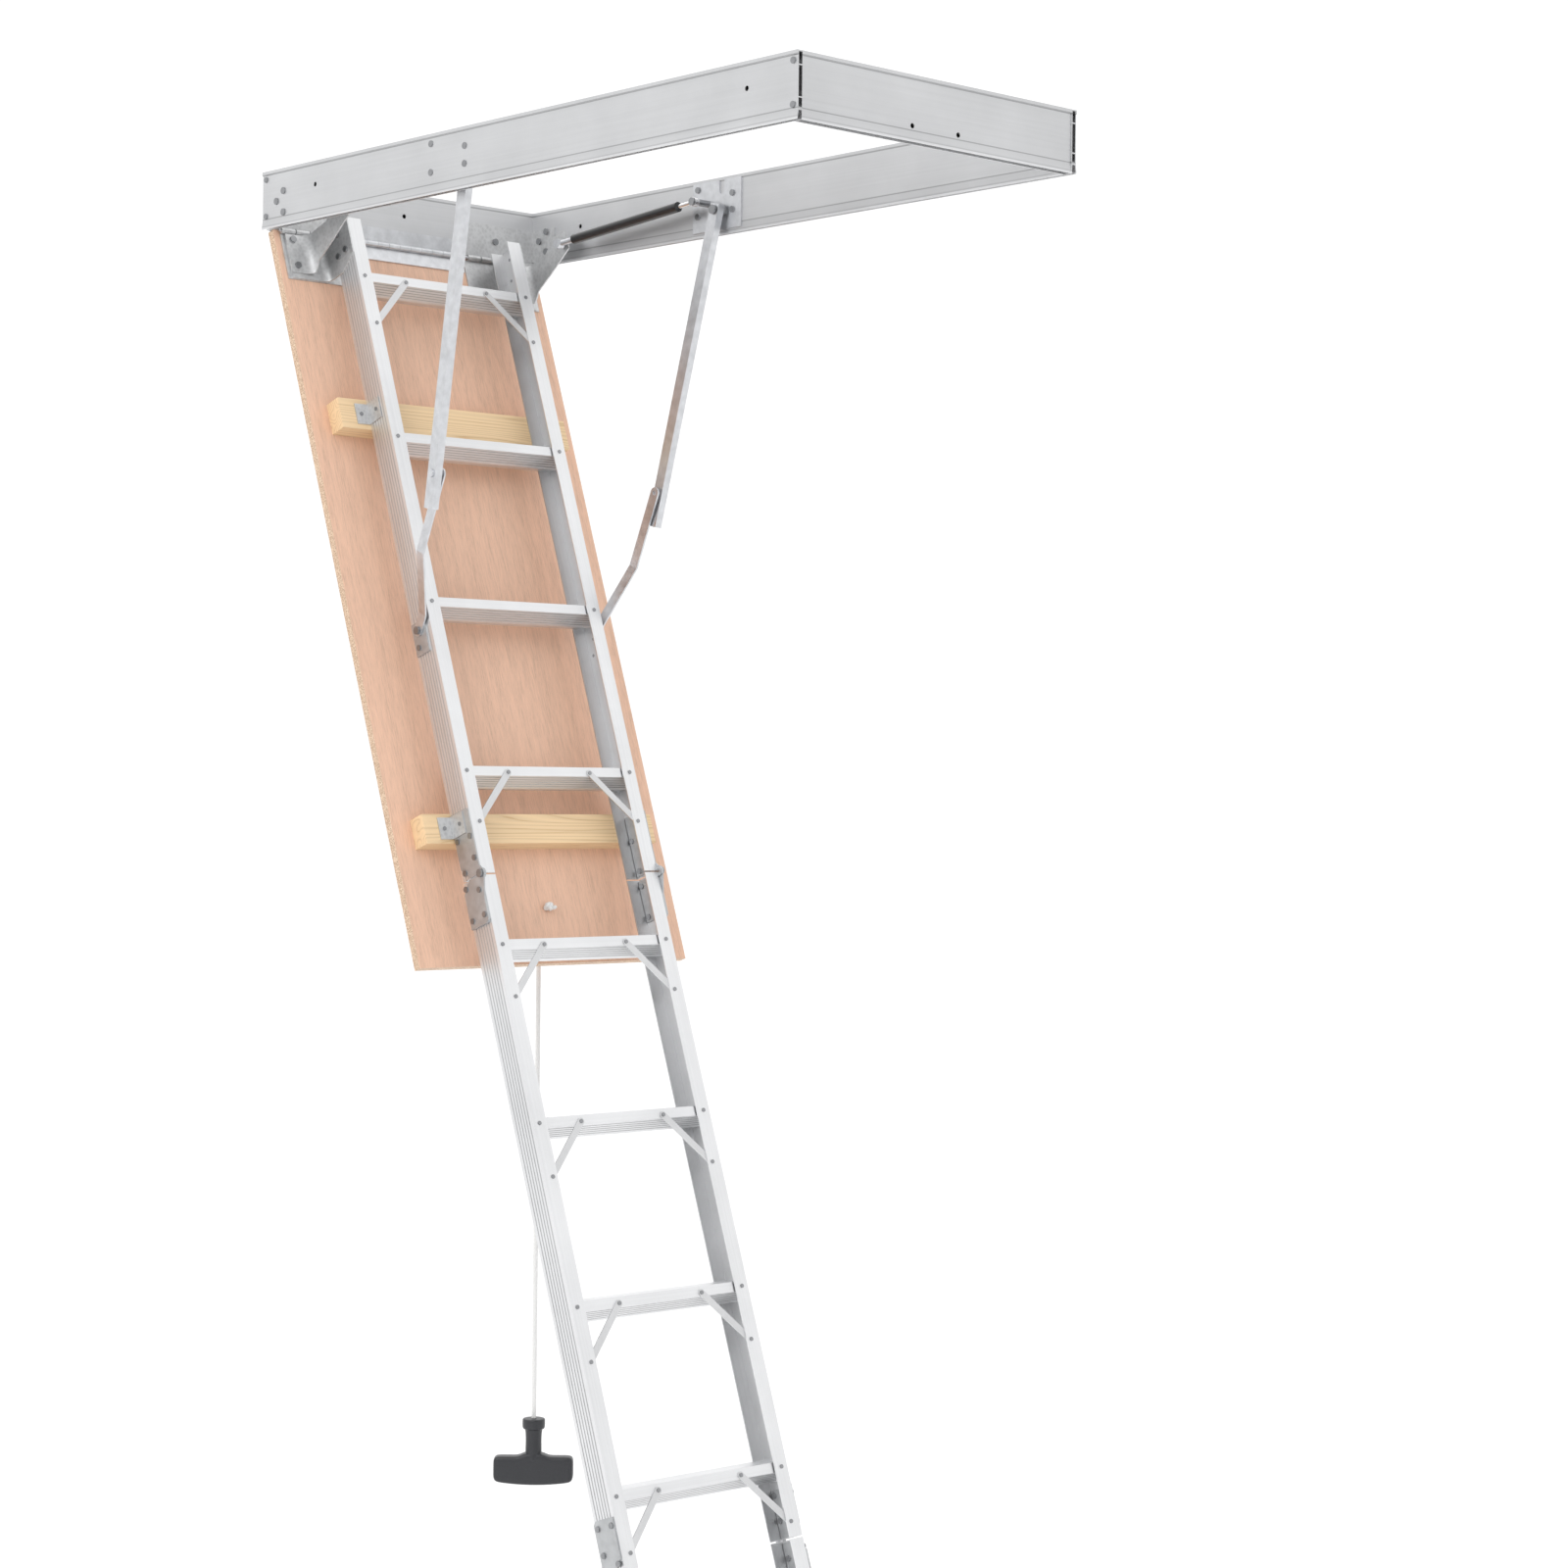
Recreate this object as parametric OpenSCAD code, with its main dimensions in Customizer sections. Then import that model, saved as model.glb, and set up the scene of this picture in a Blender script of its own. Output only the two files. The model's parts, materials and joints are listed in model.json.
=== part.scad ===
// Attic ladder: hatch frame, hinged door and a three-section folding ladder.
// X runs along the frame from its hinge end, Y across it, Z up. Underside of the frame at Z = 0.
// Leaf space lies on the open door: X down the slope, Y across, Z out of the slope to the front.

/* [Hatch frame] */
// Outside length of the frame
frame_l = 1372; // [1300:1:1700]
// Outside width of the frame
frame_w = 600; // [590:1:760]
// Height of the frame boards
frame_h = 100; // [96:1:140]
// Thickness of the long boards
long_t = 12; // [11:0.5:20]
// Thickness of the short boards
short_t = 18; // [14:0.5:20]
// Wall of the hollow boards
board_wall = 2; // [1.4:0.1:2.4]

/* [Door] */
// Slope of the open door and ladder below level
slope = 70.4; // [60:0.1:75]
// Length of the door below the hinge
door_l = 1345; // [1300:1:1650]
// Width of the door
door_w = 580; // [560:1:740]
// Thickness of the door panel
door_t = 15; // [12:1:22]
// Thickness of the pine battens
batten_t = 33.7; // [30:0.1:45]
// Thickness of every pressed steel plate
plate_t = 2.5; // [1.5:0.1:3]

/* [Ladder] */
// Outside width of the ladder over its stiles
ladder_w = 382; // [340:1:400]
// Depth of a stile, back to front
stile_d = 52; // [48:1:64]
// Width of a stile flange
flange_w = 28; // [24:1:34]
// Wall of the stiles
stile_t = 2; // [1.5:0.1:3]
// Distance from tread to tread
tread_pitch = 304.9; // [290:0.1:310]
// Distance from the hinge to the first tread
first_tread = 113; // [90:1:130]
// Wall of the hollow treads
tread_t = 2; // [1.5:0.1:3]
// Width of a tread brace
brace_w = 12; // [10:1:16]
// Radius of the ladder rivets
rivet_r = 2; // [1.5:0.1:3]

/* [Hinges and arms] */
// Radius of the door hinge knuckles
knuckle_r = 5.5; // [5:0.1:5.6]
// Radius of the door hinge pin
hinge_pin_r = 2.4; // [2:0.1:3]
// Radius of the pivot pins of arms, struts and sections
pivot_r = 4; // [3:0.1:5]
// Depth of the square arm tube
arm_tube_d = 22; // [18:1:28]
// Width of the arm tube
arm_tube_w = 14; // [12:1:16]
// Radius of the gas strut tube
strut_r = 9; // [8:0.5:11]
// Radius of the gas strut rod
strut_rod_r = 4; // [3:0.5:5]

/* [Pull cord] */
// Radius of the cord
cord_r = 4; // [2:0.5:5]
// Length of the handle bar
handle_l = 137; // [100:1:160]

/* [Hidden] */
$fn = 48;

// Running clearance round a pin, side clearance between plates, and the overrun of a cut
fit = 0.05;
gap = 0.1;
cut = 1;

// Frame
inner_y = frame_w / 2 - long_t;
lip_h = 3;
skirt_h = 17;
cavity_h = 13.5;
face_in = 2;
rib_lo = 18;
rib_mid = 31;
rib_top = frame_h - 22;
screw_r = 2.5;
screw_head_r = 5;
screw_head_h = 1.8;
screw_l = 30;
screw_z = [22, frame_h - 14];
screw_in = 10;
joist_r = 4;
joist_x = [[159, 60], [frame_l - 110, 60]];
joist_y = [-62, 36];
joist_z = 24;
peep_y = -7;
peep_z = 58;

// Door hinge
hinge_x = short_t + 8;
hinge_z = -1;
bore_r = hinge_pin_r + fit;
leaf_z = 0.5;
leaf_half = 120;
leaf_h = 30;
band_n = 10;
band_gap = 0.5;
band_w = 2 * leaf_half / band_n;
door_top = -3;
door_in = -5.7;
door_out = door_in - door_t;
leaf_start = 5;
pin_half = 282;
plate_y0 = 125;
plate_h = 66;
wrap_l = 85;
corner_fixed = [[130, 158], [190, 218], [250, 278]];
corner_door = [[160, 188], [220, 248]];
corner_end = 278;
corner_start = 122;
corner_l = 91;
hinge_bolt = [198, 36];
wrap_bolts = [[63, 61], [42, 45], [63, 24]];
bolt_r = 3;
bolt_head_r = 6;
bolt_head_h = 3.5;

// Brackets on the door
stile_base = [6, 90];
stile_base_end = 270;
bend_r = 16;
strut_bend_r = 20;
bracket_q = door_in + plate_t;
strut_q = bracket_q + plate_t;
base_top = strut_q + plate_t;
strut_left = -271;
strut_right = 219;
strut_base_w = 48.5;
strut_bolt = [11, 114];
base_bolt_p = [16, 66];
base_bolt_in = 14;
ear_bolts = [[59, 39], [56, 62], [20, 46]];
stud_gap = 2;

// Ladder
half_w = ladder_w / 2;
stile_q = door_in + batten_t;
front_q = stile_q + stile_d;
web_in = half_w - stile_t;
groove_d = 0.5;
groove_w = 2.5;
groove_n = 6;
seam = 3;
upper = [2, 1208.5];
middle = [upper[1] + seam, 2362.5];
lower = [middle[1] + seam, 3258];
pivot_um = [upper[1] + seam / 2, front_q + 3];
pivot_ml = [middle[1] + seam / 2, stile_q - 8];
tread_q = front_q - stile_t - 2;
tread_back = tread_q - stile_q - stile_t;
tread_lead = 9;
tread_band = 17;
tread_toe = 30;
tread_rise = 10.3;
rivet_y = half_w - 13;
rivet_head_r = 3.5;
rivet_head_h = 1.2;
collar_r = 5;
collar_h = 2;
brace_y = [89, half_w - 18];
brace_p = [2, 90];
braced_upper = [1, 4];
braced_middle = [5, 6, 7, 8];
braced_lower = [9, 11];
lobe_r = 9;
lobe_clear = 11;
plate_back = 117;
plate_front = 83;
plate_end = 87;
um_bolts = [[-69, -46], [-69, -11], [-31, -11], [-13, -43]];
um_bolts_low = [[14, -46], [25, -12], [68, -11], [70, -45]];
ml_bolts = [[-74, 17], [-74, 52], [-32, 18], [-14, 50]];
ml_bolts_low = [[16, 50], [30, 18], [72, 18], [72, 52]];
plate_rivet_r = 3;
plate_head_r = 5;
plate_head_h = 2;
outer_q = half_w + plate_t;
far_q = outer_q + gap;
pin_head_r = 7;
pin_head_h = 3.6;
pin_gap = 0.3;

// Battens
batten_half = 250;
batten_p = [[329, 385], [door_l - 257, door_l - 205]];
batten_bracket_w = 27;
batten_bracket_q = 37;
batten_bracket_in = 11;

// Legs and feet
leg_top = 3012;
leg_end = 3294;
foot_top = 3284;
leg_flange = half_w - 9;
leg_rows = [[3052, false], [3102, true], [3153, false], [3207, true], [3258, false]];
leg_row_q = [12, 38];
leg_hole_r = 4;
foot_out = [[0, 14], [0, 82], [50, 82], [59, 58], [59 - 44 / tan(slope), 14]];
foot_in_y = half_w - 31;
foot_out_y = half_w + 5;
foot_hole = [17, 25];

// Arms and links
arm_top = [554, inner_y - 16, 40];
knee = [441, inner_y - 41, -450];
knee_len = norm([knee[0] - arm_top[0], knee[2] - arm_top[2]]);
arm_turn = atan2(arm_top[2] - knee[2], knee[0] - arm_top[0]);
arm_tilt = atan2(knee[1] - arm_top[1], knee_len);
arm_wall = 1.5;
arm_over = 60;
link_local = [766, stile_q + 21];
link_foot = [hinge_x + link_local[0] * cos(slope) + link_local[1] * sin(slope),
             hinge_z - link_local[0] * sin(slope) + link_local[1] * cos(slope)];
link_len = norm([knee[0] - link_foot[0], knee[2] - link_foot[1]]);
link_turn = -atan2(knee[2] - link_foot[1], knee[0] - link_foot[0]);
link_w = 20;
link_t = 3;
link_y = outer_q + 0.2;
knee_gap = 2;
arm_drop = arm_over * sin(-arm_tilt);
link_top_y = knee[1] - arm_drop - arm_tube_w / 2 - knee_gap - link_t;
link_flat = 30;
link_bend = 140;
link_bolt = [28, -9];
arm_plate = [476, 602];
arm_plate_z = [8, 95];
arm_notch = [545, 559, 78];
arm_rivets_at = [[489, 84], [489, 37], [580, 69], [580, 40]];

// Gas struts
strut_y = 252;
ear_local = [14, 118];
strut_foot = [hinge_x + ear_local[0] * cos(slope) + ear_local[1] * sin(slope),
              hinge_z - ear_local[0] * sin(slope) + ear_local[1] * cos(slope)];
strut_pin = [518, 56];
strut_len = norm([strut_pin[0] - strut_foot[0], strut_pin[1] - strut_foot[1]]);
strut_turn = -atan2(strut_pin[1] - strut_foot[1], strut_pin[0] - strut_foot[0]);
strut_tube = [44, 334];
strut_wall = 2;
piston_at = 150;
piston_l = 8;
eye_r = 8;
eye_half = 5;
ball_half = 6.5;
neck_r = 5;

// Pull cord
hole_r = cord_r + 0.5;
hole_p = 1246;
knot_r = 9;
tail_l = 16;
cord_route = [
  [420.5, 0, -1183], [420.5, 0, -1200], [420.5, 0, -1220], [420.5, 0, -1250], [420.5, 0, -1300],
  [420.5, 0, -1370], [420.5, 0, -1440], [420.5, 0, -1510], [420.5, 0, -1580], [420.5, 0, -1650],
  [420.5, 0, -1720], [420.5, 0, -1790], [420.5, 0, -1860], [420.5, 0, -1930], [420.5, 0, -2000],
  [420.5, 0, -2054]
];
cord_sides = 10;
cord_step = 22;
handle_at = cord_route[len(cord_route) - 1];
handle_turn = 47;
collar_top_r = 19.5;
collar_len = 18;
handle_neck_r = 14;
handle_neck_l = 46;
bar_h = 44;
bar_t = 28;
bar_sag = 6;

// Places its children in leaf space
module leaf() {
  translate([hinge_x, 0, hinge_z]) rotate([0, slope, 0]) children();
}

// Draws the right-hand side and its mirror image on the left
module both() {
  children();
  mirror([0, 1, 0]) children();
}

// Keeps the right-hand side or mirrors it to the left
module on(side) {
  if (side == "r") children();
  else mirror([0, 1, 0]) children();
}

// A round bar along Y from y0 to y1
module y_bar(y0, y1, r) {
  translate([0, y0, 0]) rotate([-90, 0, 0]) cylinder(r = r, h = y1 - y0);
}

// Extrudes an outline drawn in X and Z along Y, from y0 to y1
module y_slab(y0, y1) {
  translate([0, y1, 0]) rotate([90, 0, 0]) linear_extrude(y1 - y0) children();
}

// Extrudes a cross-section drawn in Y and Z along X, from x0 to x1
module x_run(x0, x1) {
  translate([x0, 0, 0]) rotate([90, 0, 90]) linear_extrude(x1 - x0) children();
}

// A box given by its lowest and highest corners
module block(lo, hi) {
  translate(lo) cube(hi - lo);
}

// Hollow board section: thickness to the right, height up, outer face on the left
module board_section(t) {
  foot = lip_h - 1;
  wall = board_wall - 0.4;
  hollow = t - face_in - 2 * wall;
  difference() {
    polygon([[0, frame_h], [0, frame_h - 5], [face_in, frame_h - 7], [face_in, skirt_h],
             [0, lip_h], [0, 0], [face_in, 0], [face_in * 2, cavity_h], [t - foot, cavity_h],
             [t - foot, 0], [t, 0], [t, frame_h]]);
    translate([face_in + wall, rib_lo]) square([hollow, rib_mid - rib_lo]);
    translate([face_in + wall, rib_mid + board_wall]) square([hollow, rib_top - rib_mid - board_wall]);
    translate([face_in + wall, rib_top + board_wall]) square([hollow, frame_h - rib_top - 2 * board_wall]);
  }
}

// Where the corner screws of the frame stand
module screw_places() {
  for (x = [screw_in, frame_l - screw_in]) for (z = screw_z) translate([x, 0, z]) children();
}

// Where the bolts of a corner plate cross a long board
module wrap_places() {
  for (b = wrap_bolts) translate([b[0], 0, b[1]]) children();
}

// Where the rivets of an arm plate stand
module arm_rivet_places() {
  for (b = arm_rivets_at) translate([b[0], 0, b[1]]) children();
}

module long_board() {
  difference() {
    translate([0, frame_w / 2, 0]) mirror([0, 1, 0]) x_run(0, frame_l) board_section(long_t);
    screw_places() y_bar(inner_y - cut, frame_w / 2 + cut, screw_r);
    wrap_places() y_bar(inner_y - cut, frame_w / 2 + cut, bolt_r);
    arm_rivet_places() y_bar(inner_y - cut, frame_w / 2 + cut, rivet_r + 1);
    for (h = joist_x) translate([h[0], 0, h[1]]) y_bar(inner_y - cut, frame_w / 2 + cut, joist_r);
  }
}

module board_left() {
  color("gainsboro") mirror([0, 1, 0]) long_board();
}

module board_right() {
  color("gainsboro") long_board();
}

// A short board between the long ones, outer face at X = 0
module short_board() {
  y_slab(-inner_y, inner_y) board_section(short_t);
}

module board_hinge() {
  color("gainsboro") difference() {
    short_board();
    both() translate([-cut, hinge_bolt[0], hinge_bolt[1]])
      rotate([0, 90, 0]) cylinder(r = bolt_r, h = short_t + 2 * cut);
    translate([-cut, peep_y, peep_z]) rotate([0, 90, 0]) cylinder(r = joist_r, h = short_t + 2 * cut);
  }
}

module board_free() {
  color("gainsboro") difference() {
    translate([frame_l, 0, 0]) mirror([1, 0, 0]) short_board();
    for (y = joist_y) translate([frame_l - short_t - cut, y, joist_z])
      rotate([0, 90, 0]) cylinder(r = joist_r, h = short_t + 2 * cut);
  }
}

module frame_screws() {
  face = frame_w / 2 - face_in;
  color("silver") both() screw_places() {
    y_bar(face - screw_l, face, screw_r);
    y_bar(face, face + screw_head_h, screw_head_r);
  }
}

// One knuckle ring about the hinge axis, bored for the pin
module knuckle(y0, y1) {
  translate([hinge_x, 0, hinge_z]) difference() {
    y_bar(y0, y1, knuckle_r);
    y_bar(y0 - cut, y1 + cut, bore_r);
  }
}

// Arm that carries a fixed knuckle on its plate
module knuckle_arm(y0, y1) {
  difference() {
    block([short_t, y0, leaf_z], [hinge_x - hinge_pin_r - 0.2, y1, leaf_z + 3.7]);
    translate([hinge_x, 0, hinge_z]) y_bar(y0 - cut, y1 + cut, knuckle_r - 1);
  }
}

// A knuckle on the frame side
module fixed_knuckle(y0, y1) {
  knuckle(y0, y1);
  knuckle_arm(y0, y1);
}

// Corner plate wrapped round the inside of a frame corner, with its knuckles
module fixed_plate() {
  difference() {
    union() {
      block([short_t, plate_y0, leaf_z], [short_t + plate_t, inner_y, plate_h]);
      block([short_t, inner_y - plate_t, leaf_z + 7.5], [wrap_l, inner_y, plate_h]);
      for (b = corner_fixed) fixed_knuckle(b[0], b[1]);
    }
    translate([short_t - cut, hinge_bolt[0], hinge_bolt[1]])
      rotate([0, 90, 0]) cylinder(r = bolt_r, h = plate_t + 2 * cut);
    wrap_places() y_bar(inner_y - plate_t - cut, inner_y + cut, bolt_r);
  }
}

module fixed_plates() {
  color("darkgray") both() fixed_plate();
}

module hinge_leaf_fixed() {
  color("silver") {
    block([short_t, -leaf_half, leaf_z], [short_t + plate_t, leaf_half, leaf_h]);
    for (i = [0:2:band_n - 1]) fixed_knuckle(i * band_w - leaf_half, (i + 1) * band_w - leaf_half - band_gap);
  }
}

module hinge_pin() {
  color("silver") translate([hinge_x, 0, hinge_z]) y_bar(-pin_half, pin_half, hinge_pin_r);
}

module plate_bolts() {
  face = frame_w / 2 - face_in;
  color("silver") both() {
    translate([0, hinge_bolt[0], hinge_bolt[1]]) rotate([0, 90, 0]) {
      translate([0, 0, face_in]) cylinder(r = bolt_r, h = short_t + plate_t - face_in);
      translate([0, 0, short_t + plate_t]) cylinder(r = bolt_head_r, h = bolt_head_h);
    }
    wrap_places() {
      y_bar(inner_y - plate_t - bolt_head_h, inner_y - plate_t, bolt_head_r);
      y_bar(inner_y - plate_t, face, bolt_r);
      y_bar(face, face + screw_head_h, bolt_head_r);
    }
  }
}

// Plate on the inside of a long board that carries the arm and the strut
module arm_plates() {
  color("silver") both() difference() {
    y_slab(inner_y - plate_t, inner_y) difference() {
      translate([arm_plate[0], arm_plate_z[0]])
        square([arm_plate[1] - arm_plate[0], arm_plate_z[1] - arm_plate_z[0]]);
      translate([arm_notch[0], arm_notch[2]])
        square([arm_notch[1] - arm_notch[0], arm_plate_z[1] - arm_notch[2] + cut]);
      translate([(arm_notch[0] + arm_notch[1]) / 2, arm_notch[2]])
        circle(d = arm_notch[1] - arm_notch[0]);
    }
    arm_rivet_places() y_bar(inner_y - plate_t - cut, inner_y + cut, rivet_r + 1);
    translate([arm_top[0], 0, arm_top[2]]) y_bar(inner_y - plate_t - cut, inner_y + cut, pivot_r + 1);
    translate([strut_pin[0], 0, strut_pin[1]]) y_bar(inner_y - plate_t - cut, inner_y + cut, pivot_r);
  }
}

module arm_rivets() {
  face = frame_w / 2 - face_in;
  color("silver") both() arm_rivet_places() {
    y_bar(inner_y - plate_t, face, rivet_r + 1);
    y_bar(inner_y - plate_t - 2 * rivet_head_h, inner_y - plate_t, rivet_head_r + 2);
    y_bar(face, face + rivet_head_h, rivet_head_r + 2);
  }
}

// Pins of the arms and of the struts, each headed inside its moving piece
module frame_pins() {
  color("silver") both() {
    translate([arm_top[0], 0, arm_top[2]]) {
      y_bar(arm_top[1] - arm_tube_w / 2 - 1.5, inner_y, pivot_r + 1);
      y_bar(arm_top[1] - arm_tube_w / 2 - 5, arm_top[1] - arm_tube_w / 2 - 1.5, pin_head_r + 1);
      y_bar(arm_top[1] + arm_tube_w / 2 + 1.5, inner_y - plate_t, pin_head_r + 1);
    }
    translate([strut_pin[0], 0, strut_pin[1]]) {
      y_bar(strut_y - eye_half - 0.5, inner_y, pivot_r);
      y_bar(strut_y - eye_half - 3, strut_y - eye_half - 0.5, pin_head_r);
      y_bar(strut_y + eye_half + 0.5, inner_y - plate_t, pin_head_r - 1);
    }
  }
}

// Where the bolts through door, plates and brackets stand
module base_bolt_places() {
  for (p = base_bolt_p) for (y = [strut_left, strut_right]) translate([p, y + base_bolt_in, 0]) children();
}

// Bores of those bolts from q upward
module base_bores(q, h) {
  base_bolt_places() translate([0, 0, q - cut]) cylinder(r = bolt_r, h = h + 2 * cut);
}

module door_panel() {
  color("tan") leaf() difference() {
    block([door_top, -door_w / 2, door_out], [door_l, door_w / 2, door_in]);
    base_bores(door_out, door_t);
    translate([hole_p, 0, door_out - cut]) cylinder(r = hole_r, h = door_t + 2 * cut);
  }
}

// A door-side knuckle with the strip that joins it to its leaf
module door_knuckle(y0, y1) {
  difference() {
    union() {
      y_bar(y0, y1, knuckle_r);
      block([1, y0, -knuckle_r + 0.3], [leaf_start + 1, y1, bracket_q]);
    }
    y_bar(y0 - cut, y1 + cut, bore_r);
  }
}

module hinge_leaf_door() {
  color("silver") leaf() {
    block([leaf_start, -leaf_half, door_in], [leaf_h, leaf_half, bracket_q]);
    for (i = [1:2:band_n - 1]) door_knuckle(i * band_w - leaf_half, (i + 1) * band_w - leaf_half - band_gap);
  }
}

module door_plates() {
  color("darkgray") leaf() difference() {
    both() {
      block([leaf_start, corner_start, door_in], [corner_l, corner_end, bracket_q]);
      for (b = corner_door) door_knuckle(b[0], b[1]);
    }
    base_bores(door_in, plate_t);
  }
}

// Angle section with a round bend: base from y_end to the bend, ear rising at y_ear, root at q0
module angle_section(y_ear, y_end, q0, r, q_top) {
  bend_y = y_ear + r;
  bend_q = q0 + r;
  translate([bend_y, q0]) square([y_end - bend_y, plate_t]);
  translate([y_ear, bend_q]) square([plate_t, q_top - bend_q]);
  intersection() {
    translate([bend_y, bend_q]) difference() {
      circle(r = r);
      circle(r = r - plate_t);
    }
    translate([y_ear, q0]) square([r, r]);
  }
}

// Where the bolts of a stile ear stand
module ear_bolt_places() {
  for (b = ear_bolts) translate([b[0], 0, b[1]]) children();
}

module stile_brackets() {
  color("darkgray") leaf() difference() {
    both() intersection() {
      x_run(stile_base[0], stile_base[1]) angle_section(half_w, stile_base_end, bracket_q, bend_r, front_q);
      y_slab(0, frame_w / 2) polygon([[0, bracket_q - cut], [stile_base[1], bracket_q - cut],
        [stile_base[1], front_q - 40], [stile_base[1] - 22, front_q], [0, front_q]]);
    }
    both() ear_bolt_places() y_bar(half_w - cut, outer_q + cut, bolt_r);
    base_bores(bracket_q, plate_t);
  }
}

// Strut bracket that starts at y0 and rises at its +Y end
module strut_bracket(y0) {
  ear = y0 + strut_base_w;
  difference() {
    intersection() {
      translate([0, ear, 0]) mirror([0, 1, 0]) x_run(-20, corner_l)
        angle_section(0, strut_base_w, strut_q, strut_bend_r, 130);
      y_slab(y0 - cut, ear + cut) polygon([[6, strut_q - cut], [80, strut_q - cut], [80, 8], [62, 20],
        [48, 64], [25, 127], [-8, 127], [-13, 120], [-13, 92], [6, 62]]);
    }
    translate([strut_bolt[0], 0, strut_bolt[1]]) y_bar(ear - plate_t - cut, ear + cut, pivot_r);
    base_bores(strut_q, plate_t);
  }
}

module strut_brackets() {
  color("darkgray") leaf() {
    strut_bracket(strut_left);
    strut_bracket(strut_right);
  }
}

// Stud from a strut ear toward the strut end, headed on the far side of the ear
module strut_stud(y_tip, ear) {
  translate([strut_bolt[0], 0, strut_bolt[1]]) {
    y_bar(y_tip, ear, pivot_r);
    y_bar(ear, ear + bolt_head_h, bolt_head_r);
  }
}

module bracket_bolts() {
  color("silver") leaf() {
    base_bolt_places() {
      translate([0, 0, door_out]) cylinder(r = bolt_r, h = base_top - door_out);
      translate([0, 0, base_top]) cylinder(r = bolt_head_r, h = bolt_head_h);
    }
    both() ear_bolt_places() {
      y_bar(web_in, outer_q, bolt_r);
      y_bar(outer_q, outer_q + bolt_head_h, bolt_head_r - 0.5);
    }
    strut_stud(-strut_y + ball_half + stud_gap, strut_left + strut_base_w);
    strut_stud(strut_y + ball_half + stud_gap, strut_right + strut_base_w);
  }
}

module battens() {
  color("wheat") leaf() difference() {
    for (b = batten_p) block([b[0], -batten_half, door_in], [b[1], batten_half, stile_q]);
    both() batten_places() translate([0, half_w + 16, -18]) cylinder(r = rivet_r, h = 18 + cut);
  }
}

// Where the brackets between battens and stiles stand: the lower pair lies over the hinge plates
module batten_places() {
  for (i = [0, 1]) translate([(batten_p[i][0] + batten_p[i][1]) / 2, i * plate_t, stile_q]) children();
}

// Bores of the screws through brackets, plates and stiles
module batten_bores() {
  batten_places() translate([0, 0, batten_bracket_q - batten_bracket_in])
    y_bar(web_in - stile_t - plate_t - cut, half_w + 2 + cut, rivet_r);
}

module batten_brackets() {
  half = 19;
  color("darkgray") leaf() both() batten_places() difference() {
    union() {
      block([-half, half_w, 0], [half, half_w + batten_bracket_w, 2]);
      block([-half, half_w, 0], [half, half_w + 2, batten_bracket_q]);
    }
    translate([0, half_w + 16, -cut]) cylinder(r = rivet_r, h = 2 + 2 * cut);
    translate([0, 0, batten_bracket_q - batten_bracket_in]) y_bar(half_w - cut, half_w + 2 + cut, rivet_r);
  }
}

module batten_screws() {
  color("silver") leaf() both() batten_places() {
    translate([0, half_w + 16, -18]) cylinder(r = rivet_r, h = 20);
    translate([0, half_w + 16, 2]) cylinder(r = rivet_head_r, h = rivet_head_h);
    translate([0, 0, batten_bracket_q - batten_bracket_in]) {
      y_bar(web_in - plate_t, half_w + 2, rivet_r);
      y_bar(half_w + 2, half_w + 2 + rivet_head_h, rivet_head_r);
    }
  }
}

module cord_knot() {
  color("white") leaf() translate([hole_p, 0, 0]) {
    translate([0, 0, door_out]) cylinder(r = cord_r, h = door_t + knot_r);
    translate([0, 0, door_in + knot_r + 0.3]) sphere(r = knot_r);
    translate([0, 0, door_in + knot_r]) y_bar(0, tail_l, cord_r);
  }
}

// Lip channel of a stile, open to the middle of the ladder, with shallow outer grooves
module stile_section() {
  step = (stile_d - 10) / groove_n;
  difference() {
    translate([half_w - flange_w, stile_q]) square([flange_w, stile_d]);
    translate([half_w - flange_w - cut, stile_q + stile_t])
      square([flange_w - stile_t + cut, stile_d - 2 * stile_t]);
    for (i = [0:groove_n - 1]) translate([half_w - groove_d, stile_q + 5 + (i + 0.5) * step - groove_w / 2])
      square([groove_d + cut, groove_w]);
  }
}

function tread_at(k) = first_tread + (k - 1) * tread_pitch;

// Where the treads of a section stand
module tread_places(treads) {
  for (k = treads) translate([tread_at(k), 0, 0]) children();
}

// Where braces meet treads (end 0) and stiles (end 1)
module brace_places(treads, end) {
  for (k = treads) translate([tread_at(k) + brace_p[end], brace_y[end], 0]) children();
}

// Holes of a hinge plate, its pivot at p
module plate_places(p, bolts) {
  for (b = bolts) translate([p[0] + b[0], 0, p[1] + b[1]]) children();
}

// Bores of the rivets that cross a stile: its treads, its braces and its plate bolts
module stile(span, treads, braced) {
  difference() {
    x_run(span[0], span[1]) stile_section();
    tread_places(treads) translate([0, rivet_y, front_q - stile_t - cut])
      cylinder(r = rivet_r, h = stile_t + 2 * cut);
    brace_places(braced, 1) translate([0, 0, front_q - stile_t - cut])
      cylinder(r = rivet_r, h = stile_t + 2 * cut);
    children();
  }
}

// Cuts of a set of plate bolts through web and plates
module plate_bores(p, bolts) {
  plate_places(p, bolts) y_bar(web_in - 2 * stile_t - cut, far_q + plate_t + cut, plate_rivet_r);
}

treads_u = [1, 2, 3, 4];
treads_m = [5, 6, 7, 8];
treads_l = [9, 10, 11];

module stile_upper(side) {
  color("gainsboro") leaf() on(side) stile(upper, treads_u, braced_upper) {
    plate_bores(pivot_um, um_bolts);
    plate_bores(link_local, [[0, 0], link_bolt]);
    ear_bolt_places() y_bar(web_in - cut, half_w + cut, bolt_r);
    batten_bores();
  }
}

module stile_middle(side) {
  color("gainsboro") leaf() on(side) stile(middle, treads_m, braced_middle) {
    plate_bores(pivot_um, um_bolts_low);
    plate_bores(pivot_ml, ml_bolts);
  }
}

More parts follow.
